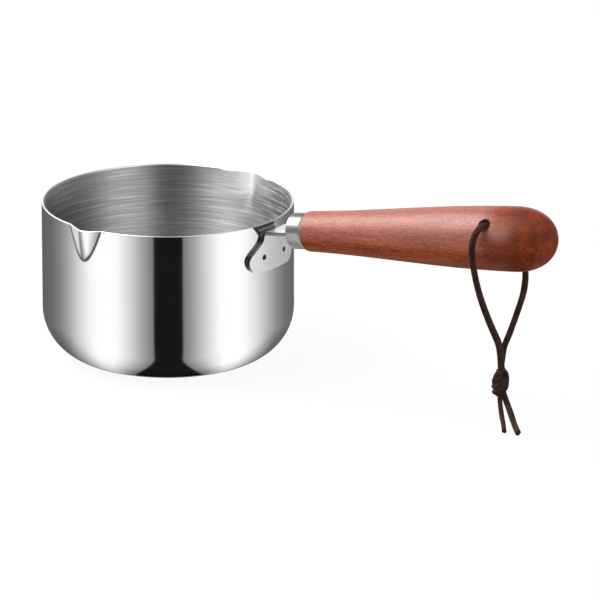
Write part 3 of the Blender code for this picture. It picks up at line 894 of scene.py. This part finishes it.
def crease_distance(across, rise):
    """How far a point of the wall lies inside the crease round a spout."""
    share = max(rise, 0.0) / SPOUT_DEPTH
    field = 2.0 * SPOUT_FOOT_RADIUS * rise + SPOUT_SPREAD * share ** 2 - across ** 2
    slope = 2.0 * SPOUT_FOOT_RADIUS + 2.0 * SPOUT_SPREAD * share / SPOUT_DEPTH
    return field / math.hypot(2.0 * across, slope)


def pinched_side(angle, half_width):
    """How far a spout's two bulging sides stand out of the round wall."""
    half_angle = half_width / POT_RADIUS
    if abs(angle) >= half_angle:
        return 0.0
    size = half_width / SPOUT_HALF_WIDTH
    tip = POT_RADIUS + SPOUT_REACH * size
    slope = (1.0 / POT_RADIUS - math.cos(half_angle) / tip) / math.sin(half_angle)
    side = 1.0 / (math.cos(angle) / tip + slope * math.sin(abs(angle))) - POT_RADIUS
    bulge = SPOUT_HANDLE_SIDE_BULGE if angle > 0.0 else SPOUT_FAR_SIDE_BULGE
    return side + bulge * size * math.sin(math.pi * abs(angle) / half_angle)


def fold_width(detail):
    """Width over which a spout's folds are rounded: 1 is the outside's detail, 0 the inside's."""
    return SPOUT_FOLD + (1.0 - detail) * SPOUT_INNER_FOLD


def spout_push(angle, rise, detail):
    """The spout with its folds rounded, and the bead and crease that the press leaves."""
    if rise < -3.0 * SPOUT_FOLD:
        return 0.0
    half_width = spout_half_width(rise)
    total = weights = 0.0
    for step in range(-4, 5):
        weight = bell(step, 5.0)
        offset = step / 4.0 * fold_width(detail) / POT_RADIUS
        total += weight * pinched_side(angle + offset, half_width)
        weights += weight
    across = angle * POT_RADIUS
    bead = SPOUT_BEAD[0] * bell(across, SPOUT_BEAD[1]) * clamp(rise / SPOUT_BEAD_START)
    crease = SPOUT_CREASE[0] * bell(crease_distance(across, rise), SPOUT_CREASE[1])
    return total / weights + detail * (bead - crease)


def painted_crease_shade(across, rise):
    """How strong the painted shade is in the crease round a spout, at its foot and on its ridge."""
    within = crease_distance(across, rise)
    inner, outer = HANDLE_SIDE_PAINTED_SHADE if across > 0.0 else FAR_SIDE_PAINTED_SHADE
    width = outer if within < 0.0 else inner + APEX_SHADE * bell(rise, APEX_HEIGHT)
    crease = bell(within, width)
    if across <= 0.0:
        crease *= FAR_CREASE_SHARE + (1.0 - FAR_CREASE_SHARE) * bell(rise, FAR_CREASE_HEIGHT)
    foot = 1.0 - rise / SPOUT_DEPTH
    ridge = bell(across, RIDGE_SHADE * (1.0 + RIDGE_FLARE * foot)) * clamp(rise / RIDGE_START)
    return max(crease, ridge * (RIDGE_DARKNESS + RIDGE_FOOT_DARKNESS * foot))


def painted_inside_gleam(across, rise):
    """How strong the painted highlight is on the inside of a spout, most of all along its fold."""
    level = clamp((rise - GLEAM_START) / GLEAM_RISE)
    return level * max(GLEAM_SHARE * bell(across, SPOUT_GLEAM), bell(across, SPOUT_GLEAM_LINE))


def polished_flat(finish, across, rise):
    """How far the polish has evened out a place of a spout: its far side and its inside."""
    within = crease_distance(across, rise) / POLISH_EDGE
    if finish == INSIDE:
        polish = INSIDE_HANDLE_SIDE_POLISH if across > 0.0 else INSIDE_FAR_SIDE_POLISH
        polish += (1.0 - polish) * bell(across, SPOUT_GLEAM_LINE)
        return polish * clamp(within + 2.0)
    if finish == OUTSIDE and across < 0.0:
        return FAR_SIDE_POLISH * clamp(within) * clamp(-across / RIDGE_EDGE)
    return 0.0


def column_turn(column, height):
    """Spout that a column of the pot belongs to, and the column's angle from it."""
    spread = spout_half_width(height - SPOUT_FOOT) + max(0.0, SPOUT_FOOT - height)
    zone = (min(spread, SPOUT_HALF_WIDTH) + SPOUT_MARGIN) / POT_RADIUS
    window = SPOUT_WINDOW / POT_RADIUS
    half, place = divmod(column, HALF_COLUMNS)
    centre = SPOUT_TURN - 0.5 * math.pi + half * math.pi
    if place <= 2 * SPOUT_COLUMNS:
        return centre, (place / SPOUT_COLUMNS - 1.0) * zone
    place -= 2 * SPOUT_COLUMNS
    if place <= SIDE_COLUMNS:
        return centre, zone + (window - zone) * place / SIDE_COLUMNS
    place -= SIDE_COLUMNS
    if place <= WALL_COLUMNS:
        return centre, window + (math.pi - 2.0 * window) * place / WALL_COLUMNS
    place -= WALL_COLUMNS
    return centre + math.pi, -window + (window - zone) * place / SIDE_COLUMNS


def pot_rings():
    """Finish, radius and height of each ring: up the inside, over the rim, down the outside."""
    inner = POT_RADIUS - POT_WALL
    corner = POT_CORNER_RADIUS - POT_WALL
    centre = (POT_RADIUS - POT_CORNER_RADIUS, POT_CORNER_RADIUS)
    top = POT_HEIGHT - RIM_EDGE
    for point in arc(centre, corner, -90.0, 0.0, POT_CORNER_STEPS):
        yield (INSIDE, *point)
    for row in range(1, WALL_ROWS + 1):
        yield INSIDE, inner, POT_CORNER_RADIUS + (SPOUT_FOOT - POT_CORNER_RADIUS) * row / WALL_ROWS
    for row in range(1, SPOUT_ROWS + 1):
        yield INSIDE, inner, SPOUT_FOOT + (top - SPOUT_FOOT) * (row / SPOUT_ROWS) ** 2
    for point in arc((inner + RIM_EDGE, top), RIM_EDGE, 180.0, 90.0, RIM_STEPS):
        yield (RIM, *point)
    for point in arc((POT_RADIUS - RIM_EDGE, top), RIM_EDGE, 90.0, 0.0, RIM_STEPS):
        yield (RIM, *point)
    yield OUTSIDE, POT_RADIUS, top - RIM_MARGIN
    for row in range(1, SPOUT_ROWS + 1):
        yield OUTSIDE, POT_RADIUS, SPOUT_FOOT + (top - SPOUT_FOOT) * (1.0 - row / SPOUT_ROWS) ** 2
    for row in range(1, FOOT_ROWS + 1):
        yield OUTSIDE, POT_RADIUS, SPOUT_FOOT - FOOT_ROW_HEIGHT * row
    low = SPOUT_FOOT - FOOT_ROW_HEIGHT * FOOT_ROWS
    for row in range(1, WALL_ROWS):
        yield OUTSIDE, POT_RADIUS, low + (POT_CORNER_RADIUS - low) * row / WALL_ROWS
    for point in arc(centre, POT_CORNER_RADIUS, 0.0, -90.0, POT_CORNER_STEPS):
        yield (OUTSIDE, *point)


def round_normal(finish, turn, height):
    """Normal of the pot where it has no spout."""
    corner = POT_CORNER_RADIUS if finish == OUTSIDE else POT_CORNER_RADIUS - POT_WALL
    down = clamp((POT_CORNER_RADIUS - height) / corner)
    flat = math.sqrt(1.0 - down * down)
    normal = Vector((flat * math.cos(turn), flat * math.sin(turn), -down))
    return normal if finish == OUTSIDE else -normal


def lip_drop(across, rise, handle_side):
    """How far the lip of a spout dips."""
    dip = SPOUT_LIP_DIP if handle_side > 0.0 else 0.0
    side = min(1.0, abs(across) / SPOUT_HALF_WIDTH)
    return dip * (1.0 - side) * max(rise, 0.0) / SPOUT_DEPTH


def place_pot_ring(ring, layers, finish, radius, height):
    """Set one ring of the pot in its place, drawn out at the two spouts."""
    column_of, painted_light_of, polish_of, facing_of = layers
    detail = 1.0 - min(POT_RADIUS - radius, POT_WALL) / POT_WALL
    rise = height - POT_HEIGHT + SPOUT_DEPTH
    surface = OUTSIDE if radius == POT_RADIUS else finish
    for vert in ring:
        centre, angle = column_turn(vert[column_of], height)
        handle_side = 1.0 if math.sin(centre) < 0.0 else -1.0
        angle *= handle_side
        across = angle * POT_RADIUS
        out, drop, crease, polish = radius, 0.0, 0.0, 0.0
        if abs(across) < SPOUT_HALF_WIDTH + SPOUT_MARGIN and rise > -SPOUT_FOOT_MARGIN:
            out += spout_push(angle, rise, detail)
            drop = lip_drop(across, rise, handle_side)
            polish = polished_flat(surface, across, rise)
            # Painted shade in the outside's creases, painted highlight on the inside of each spout
            if finish == OUTSIDE:
                crease = painted_crease_shade(across, rise)
        if finish == INSIDE:
            crease = painted_inside_gleam(across, rise)
        skew = SPOUT_SKEW * max(angle, 0.0) * min(1.0, 2.0 * bell(across, SPOUT_WINDOW))
        turn = centre + (angle + skew) * handle_side
        facing = centre
        if finish == INSIDE:
            gleam = bell(across, SPOUT_GLEAM_LINE)
            facing = turn + math.pi - handle_side * gleam * SPOUT_GLEAM_TURN
        normal = (math.cos(facing), math.sin(facing), 0.0)
        if surface != RIM and crease_distance(across, rise) < -2.5 * fold_width(detail):
            polish = 1.0
            normal = round_normal(surface, turn, height)
        vert.co = (out * math.cos(turn), out * math.sin(turn), height - drop)
        vert[painted_light_of] = crease
        vert[polish_of] = polish
        vert[facing_of] = normal


def make_pot(finishes):
    """Cup drawn ring by ring: up its inside, over the rounded rim and down its outside."""
    bm = bmesh.new()
    column_of = bm.verts.layers.int.new("column")
    # Layer of painted light: painted shade in the outside's creases, painted highlight inside the spouts
    painted_light_of = bm.verts.layers.float.new("crease")
    polish_of = bm.verts.layers.float.new("polish")
    facing_of = bm.verts.layers.float_vector.new("facing")
    layers = (column_of, painted_light_of, polish_of, facing_of)
    ring = bmesh.ops.create_circle(bm, segments=2 * HALF_COLUMNS, radius=POT_RADIUS)["verts"]
    for column, vert in enumerate(ring):
        vert[column_of] = column
    edges = first_edges = list(bm.edges)
    for number, (finish, radius, height) in enumerate(pot_rings()):
        if number:
            ring, edges, faces = extrude_ring(bm, edges)
            for face in faces:
                face.material_index = finish
        place_pot_ring(ring, layers, finish, radius, height)
    for rim, finish in ((first_edges, INSIDE), (edges, OUTSIDE)):
        bmesh.ops.contextual_create(bm, geom=rim)["faces"][0].material_index = finish
    pot = finish_piece("pot", bm, "warmer", finishes, ["pot_body"], 80.0)
    even_out(pot.data)


def even_out(mesh):
    """Turn the shading normals of the polished places towards the way each one faces."""
    places = zip(mesh.vertices, mesh.attributes["polish"].data, mesh.attributes["facing"].data)
    normals = [
        vert.normal.lerp(facing.vector, polish.value).normalized() for vert, polish, facing in places
    ]
    mesh.normals_split_custom_set_from_vertices(normals)


def lobe_width(height, lobe_height, fold_height):
    """Half width of the bracket's plate: round lobes below, drawn in to the neck above."""
    below = lobe_height - height
    if below > 0.0:
        reach = math.sqrt(max(LOBE_RADIUS ** 2 - below ** 2, 0.0))
        return LOBE_HALF_WIDTH - LOBE_RADIUS + reach
    ease = bell(height - lobe_height, fold_height - lobe_height)
    return NECK_HALF_WIDTH + (LOBE_HALF_WIDTH - NECK_HALF_WIDTH) * ease


def dented(point):
    """A point of the plate, pushed towards the wall where a weld dent is."""
    for centre in weld_dent_places():
        flat = Vector((centre.x, centre.y, 0.0)).normalized()
        across = (point - centre) - flat * (point - centre).dot(flat)
        share = across.length / WELD_DENT_RADIUS
        if share < 1.0:
            return point - flat * WELD_DENT_DEPTH * bell(share ** 2, 1.0)
    return point


def plate_point(side, height, half_width):
    """Point of the bracket's plate at a side (-1 to 1) of its middle."""
    angle = side * half_width / BRACKET_INNER_RADIUS
    return Vector((
        BRACKET_INNER_RADIUS * math.cos(angle), BRACKET_INNER_RADIUS * math.sin(angle), height,
    ))


def plate_rows(fold_height):
    """Rows of the bracket's plate, from its lobes up to where it folds."""
    lobe_height = POT_HEIGHT - LOBE_DROP
    heights = [lobe_height - LOBE_RADIUS * math.cos(0.5 * math.pi * step / LOBE_STEPS)
               for step in range(LOBE_STEPS)]
    heights += [lobe_height + (fold_height - lobe_height) * step / PLATE_STEPS
                for step in range(PLATE_STEPS + 1)]
    for height in heights:
        half_width = lobe_width(height, lobe_height, fold_height)
        yield lambda side, h=height, w=half_width: dented(plate_point(side, h, w))


def tongue_rows():
    """Rows of the bracket's tongue, which narrows at the ferrule."""
    shoulder = FERRULE_STANDOFF - SEAT_GAP
    tongue = (
        (shoulder - TONGUE_SHOULDER, NECK_HALF_WIDTH),
        (shoulder, TONGUE_TIP_HALF_WIDTH),
        (TONGUE_TIP, TONGUE_TIP_HALF_WIDTH),
    )
    for place, half_width in tongue:
        centre = HANDLE_FRAME @ Vector((-0.5 * BRACKET_SHEET, 0.0, place))
        yield lambda side, c=centre, w=half_width: c + Vector((0.0, side * w, 0.0))


def bracket_rows():
    """Rows of the bracket's sheet, as functions from a side (-1 to 1) to a point."""
    fold = FOLD_RADIUS + BRACKET_SHEET
    turn = 0.5 * math.pi - HANDLE_TILT
    reach = BRACKET_INNER_RADIUS + fold * (1.0 - math.cos(turn)) - POT_RADIUS
    top = HANDLE_AXIS_HEIGHT + reach * math.tan(HANDLE_TILT)
    fold_height = top + 0.5 * BRACKET_SHEET / math.cos(HANDLE_TILT) - fold * math.sin(turn)
    yield from plate_rows(fold_height)
    for step in range(1, FOLD_STEPS + 1):
        bend = turn * step / FOLD_STEPS
        shift = Vector((fold * (1.0 - math.cos(bend)), 0.0, fold * math.sin(bend)))
        yield lambda side, s=shift: plate_point(side, fold_height, NECK_HALF_WIDTH) + s
    yield from tongue_rows()


def make_bracket(finishes):
    """Plate on the wall and tongue to the ferrule, bent from one sheet."""
    rows = list(bracket_rows())
    bm = bmesh.new()
    bmesh.ops.create_grid(bm, x_segments=BRACKET_COLUMNS, y_segments=len(rows) - 1, size=1.0)
    for vert in bm.verts:
        row = round((vert.co.y + 1.0) * 0.5 * (len(rows) - 1))
        vert.co = rows[row](vert.co.x)
    bracket = finish_piece(
        "bracket", bm, "warmer", finishes, ["handle_bracket"],
    )
    sheet = bracket.modifiers.new("sheet", 'SOLIDIFY')
    sheet.thickness = BRACKET_SHEET
    sheet.use_even_offset = True
    sheet.material_offset_rim = 1
    outward = bracket.data.polygons[0].normal.x > 0.0
    sheet.offset = 1.0 if outward else -1.0
    edge = bracket.modifiers.new("sheet_edge", 'BEVEL')
    edge.width = BRACKET_EDGE
    edge.segments = 3
    edge.limit_method = 'ANGLE'
    edge.angle_limit = math.radians(60.0)


def make_ferrule(satin):
    """Turned cup with rounded edges and a slot for the bracket's tongue."""
    front = FERRULE_STANDOFF
    back = front + FERRULE_LENGTH
    inner = FERRULE_RADIUS - FERRULE_WALL
    edge = FERRULE_EDGE
    outline = [(0.0, front)]
    outline += arc((FERRULE_RADIUS - edge, front + edge), edge, -90.0, 0.0, 5)
    outline += arc((FERRULE_RADIUS - edge, back - edge), edge, 0.0, 90.0, 5)
    outline += [(inner, back), (inner, front + FERRULE_FRONT), (0.0, front + FERRULE_FRONT)]
    slot = bmesh.new()
    bmesh.ops.create_cube(slot, size=1.0)
    slot_size = (
        BRACKET_SHEET + 2.0 * SEAT_GAP, 2.0 * (TONGUE_TIP_HALF_WIDTH + SEAT_GAP),
        3.0 * FERRULE_FRONT,
    )
    place = Matrix.Translation((0.0, 0.0, front + 0.5 * FERRULE_FRONT))
    bmesh.ops.transform(slot, matrix=place @ Matrix.Diagonal((*slot_size, 1.0)), verts=slot.verts)
    bm = cut_out(turned(outline, FERRULE_STEPS), slot)
    bmesh.ops.transform(bm, matrix=HANDLE_FRAME, verts=bm.verts)
    finish_piece(
        "ferrule_cup", bm, "warmer", (satin,), ["ferrule"], 35.0, False,
    )


def wood_side(count):
    """Outside of the handle from its root to where the dome begins, as a Bezier curve."""
    start = WOOD_START + WOOD_ROOT_EDGE
    end = WOOD_TIP - WOOD_DOME_LENGTH
    length = end - start
    swell = WOOD_FULL_RADIUS - WOOD_ROOT_RADIUS
    handles = (
        (WOOD_ROOT_RADIUS, start),
        (WOOD_ROOT_RADIUS + 0.19 * swell, start + 0.33 * length),
        (WOOD_FULL_RADIUS - 0.04 * swell, start + 0.63 * length),
        (WOOD_FULL_RADIUS, end),
    )
    for step in range(count + 1):
        t = step / count
        weights = ((1 - t) ** 3, 3 * t * (1 - t) ** 2, 3 * t * t * (1 - t), t ** 3)
        yield tuple(sum(w * h[axis] for w, h in zip(weights, handles)) for axis in (0, 1))


def cord_hole():
    """Cutter of the cross hole, with a rounded lip at both mouths."""
    mouth = WOOD_FULL_RADIUS
    beyond = mouth + HOLE_FLARE
    wide = HOLE_RADIUS + HOLE_FLARE
    lip = list(arc((wide, mouth - HOLE_FLARE), HOLE_FLARE, 180.0, 90.0, 6))
    outline = [(0.0, -beyond), (wide, -beyond)]
    outline += [(radius, -place) for radius, place in lip[::-1]]
    outline += lip + [(wide, beyond), (0.0, beyond)]
    bm = turned(outline, HOLE_STEPS)
    turn = HOLE_AXIS.to_track_quat('Z', 'Y').to_matrix().to_4x4()
    place = Matrix.Translation((0.0, 0.0, HOLE_PLACE))
    bmesh.ops.transform(bm, matrix=place @ turn, verts=bm.verts)
    return bm


def make_turned_handle(wood):
    """Turned handle with a rounded root, a domed end and the cross hole."""
    bore = STUD_RADIUS + SEAT_GAP
    bore_end = STUD_START + STUD_LENGTH + SEAT_GAP
    tenon_start = WOOD_START - TENON_LENGTH
    edge = WOOD_ROOT_EDGE
    outline = [
        (0.0, bore_end), (bore, bore_end), (bore, tenon_start), (TENON_RADIUS, tenon_start),
        (TENON_RADIUS, WOOD_START),
    ]
    outline += arc((WOOD_ROOT_RADIUS - edge, WOOD_START + edge), edge, -90.0, -10.0, 7)
    outline += wood_side(WOOD_SIDE_STEPS)
    for step in range(1, DOME_STEPS):
        turn = 0.5 * math.pi * step / DOME_STEPS
        radius = WOOD_FULL_RADIUS * math.cos(turn) ** WOOD_DOME_FULLNESS
        place = WOOD_TIP - WOOD_DOME_LENGTH * (1.0 - math.sin(turn) ** WOOD_DOME_FULLNESS)
        outline.append((radius, place))
    outline.append((0.0, WOOD_TIP))
    bm = cut_out(turned(outline, WOOD_STEPS), cord_hole())
    bmesh.ops.transform(bm, matrix=HANDLE_FRAME, verts=bm.verts)
    finish_piece(
        "turned_handle", bm, "warmer", (wood,), ["wooden_handle"], 30.0, False,
    )


def smooth_route(route, spacing):
    """Points read at even steps from a smooth curve through the route's points."""
    knots = [Vector(point) for point in route]
    ends = [2 * knots[0] - knots[1]] + knots + [2 * knots[-1] - knots[-2]]
    fine = []
    for a, b, c, d in zip(ends, ends[1:], ends[2:], ends[3:]):
        for step in range(40):
            t = step / 40
            fine.append(0.5 * (2 * b + (c - a) * t + (2 * a - 5 * b + 4 * c - d) * t * t
                               + (3 * b - a - 3 * c + d) * t ** 3))
    fine.append(knots[-1])
    lengths = [0.0]
    for first, second in zip(fine, fine[1:]):
        lengths.append(lengths[-1] + (second - first).length)
    count = max(2, round(lengths[-1] / spacing))
    points = []
    for step in range(count + 1):
        target = lengths[-1] * step / count
        place = next(i for i, far in enumerate(lengths) if far >= target - 1e-9)
        points.append(fine[place])
    return points


def squared_off(share):
    """A share of an oval's radius, drawn towards a rectangle's."""
    return math.copysign(abs(share) ** LACE_SQUARENESS, share)


def add_lace(bm, points, side, twist, width, thickness):
    """Lace drawn along points: an oval section that turns by twist along its length."""
    layers = bm.verts.layers
    place_of = layers.float_vector.get("lace_place") or layers.float_vector.new("lace_place")
    number_of = layers.int.get("number") or layers.int.new("number")
    ring = bmesh.ops.create_circle(bm, segments=LACE_SIDES, radius=1.0)["verts"]
    for number, vert in enumerate(ring):
        vert[number_of] = number
    edges = first_edges = list({edge for vert in ring for edge in vert.link_edges})
    last = len(points) - 1
    along = 0.0
    for step, point in enumerate(points):
        ahead = (points[min(step + 1, last)] - points[max(step - 1, 0)]).normalized()
        side = (side - ahead * side.dot(ahead)).normalized()
        if step:
            along += (point - points[step - 1]).length
            ring, edges, _ = extrude_ring(bm, edges)
        wide = Matrix.Rotation(twist * step / last, 3, ahead) @ side
        thick = ahead.cross(wide)
        uneven = 1.0 + sum(share * math.sin(along / gap + start) for share, gap, start in LACE_WAVES)
        for vert in ring:
            angle = FULL_TURN * vert[number_of] / LACE_SIDES
            across, up = math.cos(angle), math.sin(angle)
            vert.co = (point + wide * 0.5 * width * uneven * squared_off(across)
                       + thick * 0.5 * thickness * squared_off(up))
            vert[place_of] = (FIBRES_ROUND * across, FIBRES_ROUND * up, along / FIBRE_LENGTH)
    for end in (first_edges, edges):
        bmesh.ops.contextual_create(bm, geom=end)


def make_lace(name, node, route, leather, twist, width, lead=0.0):
    """One free stretch of the lace, twisted by degrees; lead carries it on into the knot."""
    points = smooth_route([Vector(point) * MM for point in route], LACE_STEP)
    if lead:
        points.append(points[-1] + (points[-1] - points[-2]).normalized() * lead)
    bm = bmesh.new()
    add_lace(bm, points, CAMERA_RIGHT, math.radians(twist), width, LACE_THINNESS * width)
    lace = finish_piece(name, bm, "hanging_cord", (leather,), [node], 50.0, False)
    return lace, points


def make_knot(leather):
    """Overhand knot of the doubled lace: slanting turns, held by a strand down their side."""
    bm = bmesh.new()
    for drop, reach, turns in KNOT_TURNS:
        points = []
        for step in range(KNOT_TURN_STEPS + 1):
            share = step / KNOT_TURN_STEPS
            angle = FULL_TURN * (KNOT_START + turns * share)
            tuck = min(1.0, KNOT_TUCK * share, KNOT_TUCK * (1.0 - share))
            out = KNOT_CORE + (reach - KNOT_CORE) * tuck
            points.append(
                KNOT_CENTRE + CAMERA_SIDE * out * math.cos(angle) + CAMERA_RIGHT * out * math.sin(angle)
                + UP * (drop + KNOT_SLANT * math.sin(angle) + KNOT_RISE * (share - 0.5))
            )
        add_lace(bm, points, UP, 0.0, *KNOT_TURN_SECTION)
    for strand in KNOT_STRANDS:
        route = [KNOT_CENTRE + CAMERA_SIDE * depth + CAMERA_RIGHT * across + UP * rise
                 for depth, across, rise in strand]
        add_lace(bm, smooth_route(route, LACE_STEP), CAMERA_SIDE, 0.0, *KNOT_STRAND_SECTION)
    return finish_piece(
        "lace_knot", bm, "hanging_cord", (leather,), ["cord_knot"], 50.0, False,
    )


def route_length(points):
    """Length of a route along its points."""
    return sum((second - first).length for first, second in zip(points, points[1:]))


def make_cord(leather):
    """The whole lace: two legs, the knot and two tails."""
    knot = make_knot(leather)
    front_leg, front_points = make_lace(
        "lace_front_leg", "cord_front_leg", CORD_FRONT_LEG, leather, 50.0, FRONT_LEG_WIDTH, KNOT_LEAD,
    )
    rear_leg, rear_points = make_lace(
        "lace_rear_leg", "cord_rear_leg", CORD_REAR_LEG, leather, -60.0, REAR_LEG_WIDTH, KNOT_LEAD,
    )
    front_tail, _ = make_lace(
        "lace_front_tail", "cord_front_tail", CORD_FRONT_TAIL, leather, -30.0, FRONT_TAIL_WIDTH,
    )
    rear_tail, _ = make_lace(
        "lace_rear_tail", "cord_rear_tail", CORD_REAR_TAIL, leather, 40.0, REAR_TAIL_WIDTH,
    )
    route_length(front_points)
    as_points(front_points)
    route_length(rear_points)
    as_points(rear_points)


def make_floor():
    """Pale floor that keeps the object's shadow; metal doesn't mirror it."""
    bm = bmesh.new()
    bmesh.ops.create_grid(bm, x_segments=1, y_segments=1, size=FLOOR_SIZE)
    bmesh.ops.translate(bm, vec=(0.0, 0.0, -FLOOR_DROP), verts=bm.verts)
    floor = as_object("floor", bm)
    floor.visible_glossy = False
    material = bpy.data.materials.new("pale_floor")
    material.use_nodes = True
    tree = material.node_tree
    tree.nodes.clear()
    seen = add_node(tree, "LightPath").outputs["Is Camera Ray"]
    colour = mix_colour(tree, seen, FLOOR_LIT_TONE, FLOOR_SEEN_TONE)
    paint = add_node(tree, "BsdfDiffuse", {"Color": colour})
    white = add_node(tree, "Emission", {"Color": (*WHITE, 1.0)})
    clear = add_node(tree, "BsdfTransparent")
    lit = mix_shader(tree, multiply(tree, seen, FLOOR_GLOW), paint, white)
    behind = add_node(tree, "NewGeometry").outputs["Backfacing"]
    both = mix_shader(tree, behind, lit, clear)
    add_node(tree, "OutputMaterial", {"Surface": both.outputs[0]})
    floor.data.materials.append(material)


def panels_round(tree, angle, stops, strength=1.0):
    """Light of the panels by an angle, whose stops are in degrees from -180 to 180."""
    place = remap(tree, angle, -math.pi, math.pi, smooth=False)
    return ramp(tree, place, [(0.5 + degrees / 360.0, light * strength) for degrees, light in stops])


def above(tree, height, low, high):
    """0 below one angle over the horizon and 1 above another, in degrees."""
    return remap(tree, height, math.sin(math.radians(low)), math.sin(math.radians(high)))


def low_light(tree, side, right, height):
    """Light from below the horizon, which the outside of the pot mirrors."""
    leaning = calculate(tree, 'ADD', side, math.cos(CAMERA_HEIGHT))
    angle = calculate(tree, 'ARCTAN2', calculate(tree, 'ABSOLUTE', right), leaning)
    angle = multiply(tree, angle, 2.0)
    under = calculate(
        tree, 'MAXIMUM', remap(tree, height, *FLARE_HEIGHTS), remap(tree, side, *FLARE_SIDES),
    )
    spread = calculate(tree, 'POWER', remap(tree, side, *FLARE_SPREAD, smooth=False), FLARE_POWER)
    gap = remap(tree, angle, *FLARE_ANGLES, FLARE_GAP, 0.0)
    flare = multiply(tree, multiply(tree, spread, under), gap)
    angle = calculate(tree, 'SUBTRACT', angle, flare)
    angle = calculate(tree, 'MAXIMUM', angle, remap(tree, side, *FAR_SIDES, 0.0, FAR_ANGLE))
    light = panels_round(tree, angle, LOW_PANELS, LOW_STRENGTH)
    dim = multiply(
        tree, remap(tree, height, *DIM_HEIGHTS), remap(tree, side, *DIM_SIDES, smooth=False),
    )
    light = mix_colour(tree, dim, light, grey(DIM_SHARE), 'MULTIPLY')
    outer = remap(tree, side, *OUTER_SIDES)
    levels = remap(tree, right, -1.0, 1.0, *OUTER_LEVELS)
    return mix_colour(tree, outer, light, levels, 'MULTIPLY')


def upper_light(tree, side, right, height):
    """Light from the horizon up, which the rim, the spouts and the inside mirror."""
    angle = calculate(tree, 'ARCTAN2', right, side)
    middle = panels_round(tree, angle, MIDDLE_PANELS)
    high = panels_round(tree, angle, HIGH_PANELS)
    light = mix_colour(tree, above(tree, height, *MIDDLE_TO_HIGH), middle, high)
    behind = multiply(tree, remap(tree, height, *BACK_HEIGHTS), remap(tree, side, *BACK_SIDES))
    light = mix_colour(tree, behind, light, grey(BACK_PANEL))
    beside = multiply(tree, remap(tree, height, *SIDE_HEIGHTS), remap(tree, right, *SIDE_RIGHTS))
    light = mix_colour(tree, beside, light, grey(SIDE_PANEL))
    top = panels_round(tree, angle, TOP_PANELS)
    return light, top


def make_studio():
    """World: bright panels left and right, a dark gap at the camera, light from above."""
    world = bpy.data.worlds.new("studio")
    bpy.context.scene.world = world
    world.use_nodes = True
    tree = world.node_tree
    tree.nodes.clear()
    direction = add_node(tree, "TexCoord").outputs["Generated"]
    side, right, height = [measure_along(tree, direction, axis) for axis in (CAMERA_SIDE, CAMERA_RIGHT, UP)]
    low = low_light(tree, side, right, height)
    upper, top = upper_light(tree, side, right, height)
    light = mix_colour(tree, above(tree, height, *LOW_TO_MIDDLE), low, upper)
    light = mix_colour(tree, above(tree, height, *HIGH_TO_TOP), light, top)
    shining = add_node(tree, "Background", {"Color": light})
    white = add_node(tree, "Background", {"Color": (*WHITE, 1.0)})
    seen = add_node(tree, "LightPath").outputs["Is Camera Ray"]
    both = mix_shader(tree, seen, shining, white)
    add_node(tree, "OutputWorld", {"Surface": both.outputs[0]})


def make_softbox():
    """One long soft lamp above the object, to its left."""
    lamp = bpy.data.lights.new("softbox", 'AREA')
    lamp.shape = 'RECTANGLE'
    lamp.size = SOFTBOX_WIDTH
    lamp.size_y = SOFTBOX_LENGTH
    lamp.energy = SOFTBOX_POWER
    softbox = new_object("softbox", lamp)
    softbox.matrix_world = (
        Matrix.Translation(SOFTBOX_PLACE)
        @ (SOFTBOX_AIM - SOFTBOX_PLACE).to_track_quat('-Z', 'Y').to_matrix().to_4x4()
    )


def make_camera():
    """Camera that sees the object as the photograph does."""
    camera = bpy.data.cameras.new("camera")
    camera.lens = CAMERA_LENS
    camera.clip_end = CAMERA_REACH
    item = new_object("camera", camera)
    item.location = CAMERA_PLACE
    item.rotation_euler = CAMERA_TURN
    bpy.context.scene.camera = item


def main():
    """Build the whole scene."""
    make_brush_group()
    make_patches_group()
    make_camera()
    make_cord(make_lace_leather())
    make_pot((make_polished_steel(), make_brushed_steel(), make_rim_steel()))
    make_bracket((make_bracket_steel(), make_cut_steel_with_painted_shade()))
    make_ferrule(make_ferrule_steel())
    make_turned_handle(make_red_wood())
    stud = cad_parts["handle_stud"]
    stud.data.materials.clear()
    stud.data.materials.append(make_zinc_steel())
    make_floor()
    make_studio()
    make_softbox()
    bpy.context.scene.view_settings.view_transform = 'Standard'


main()
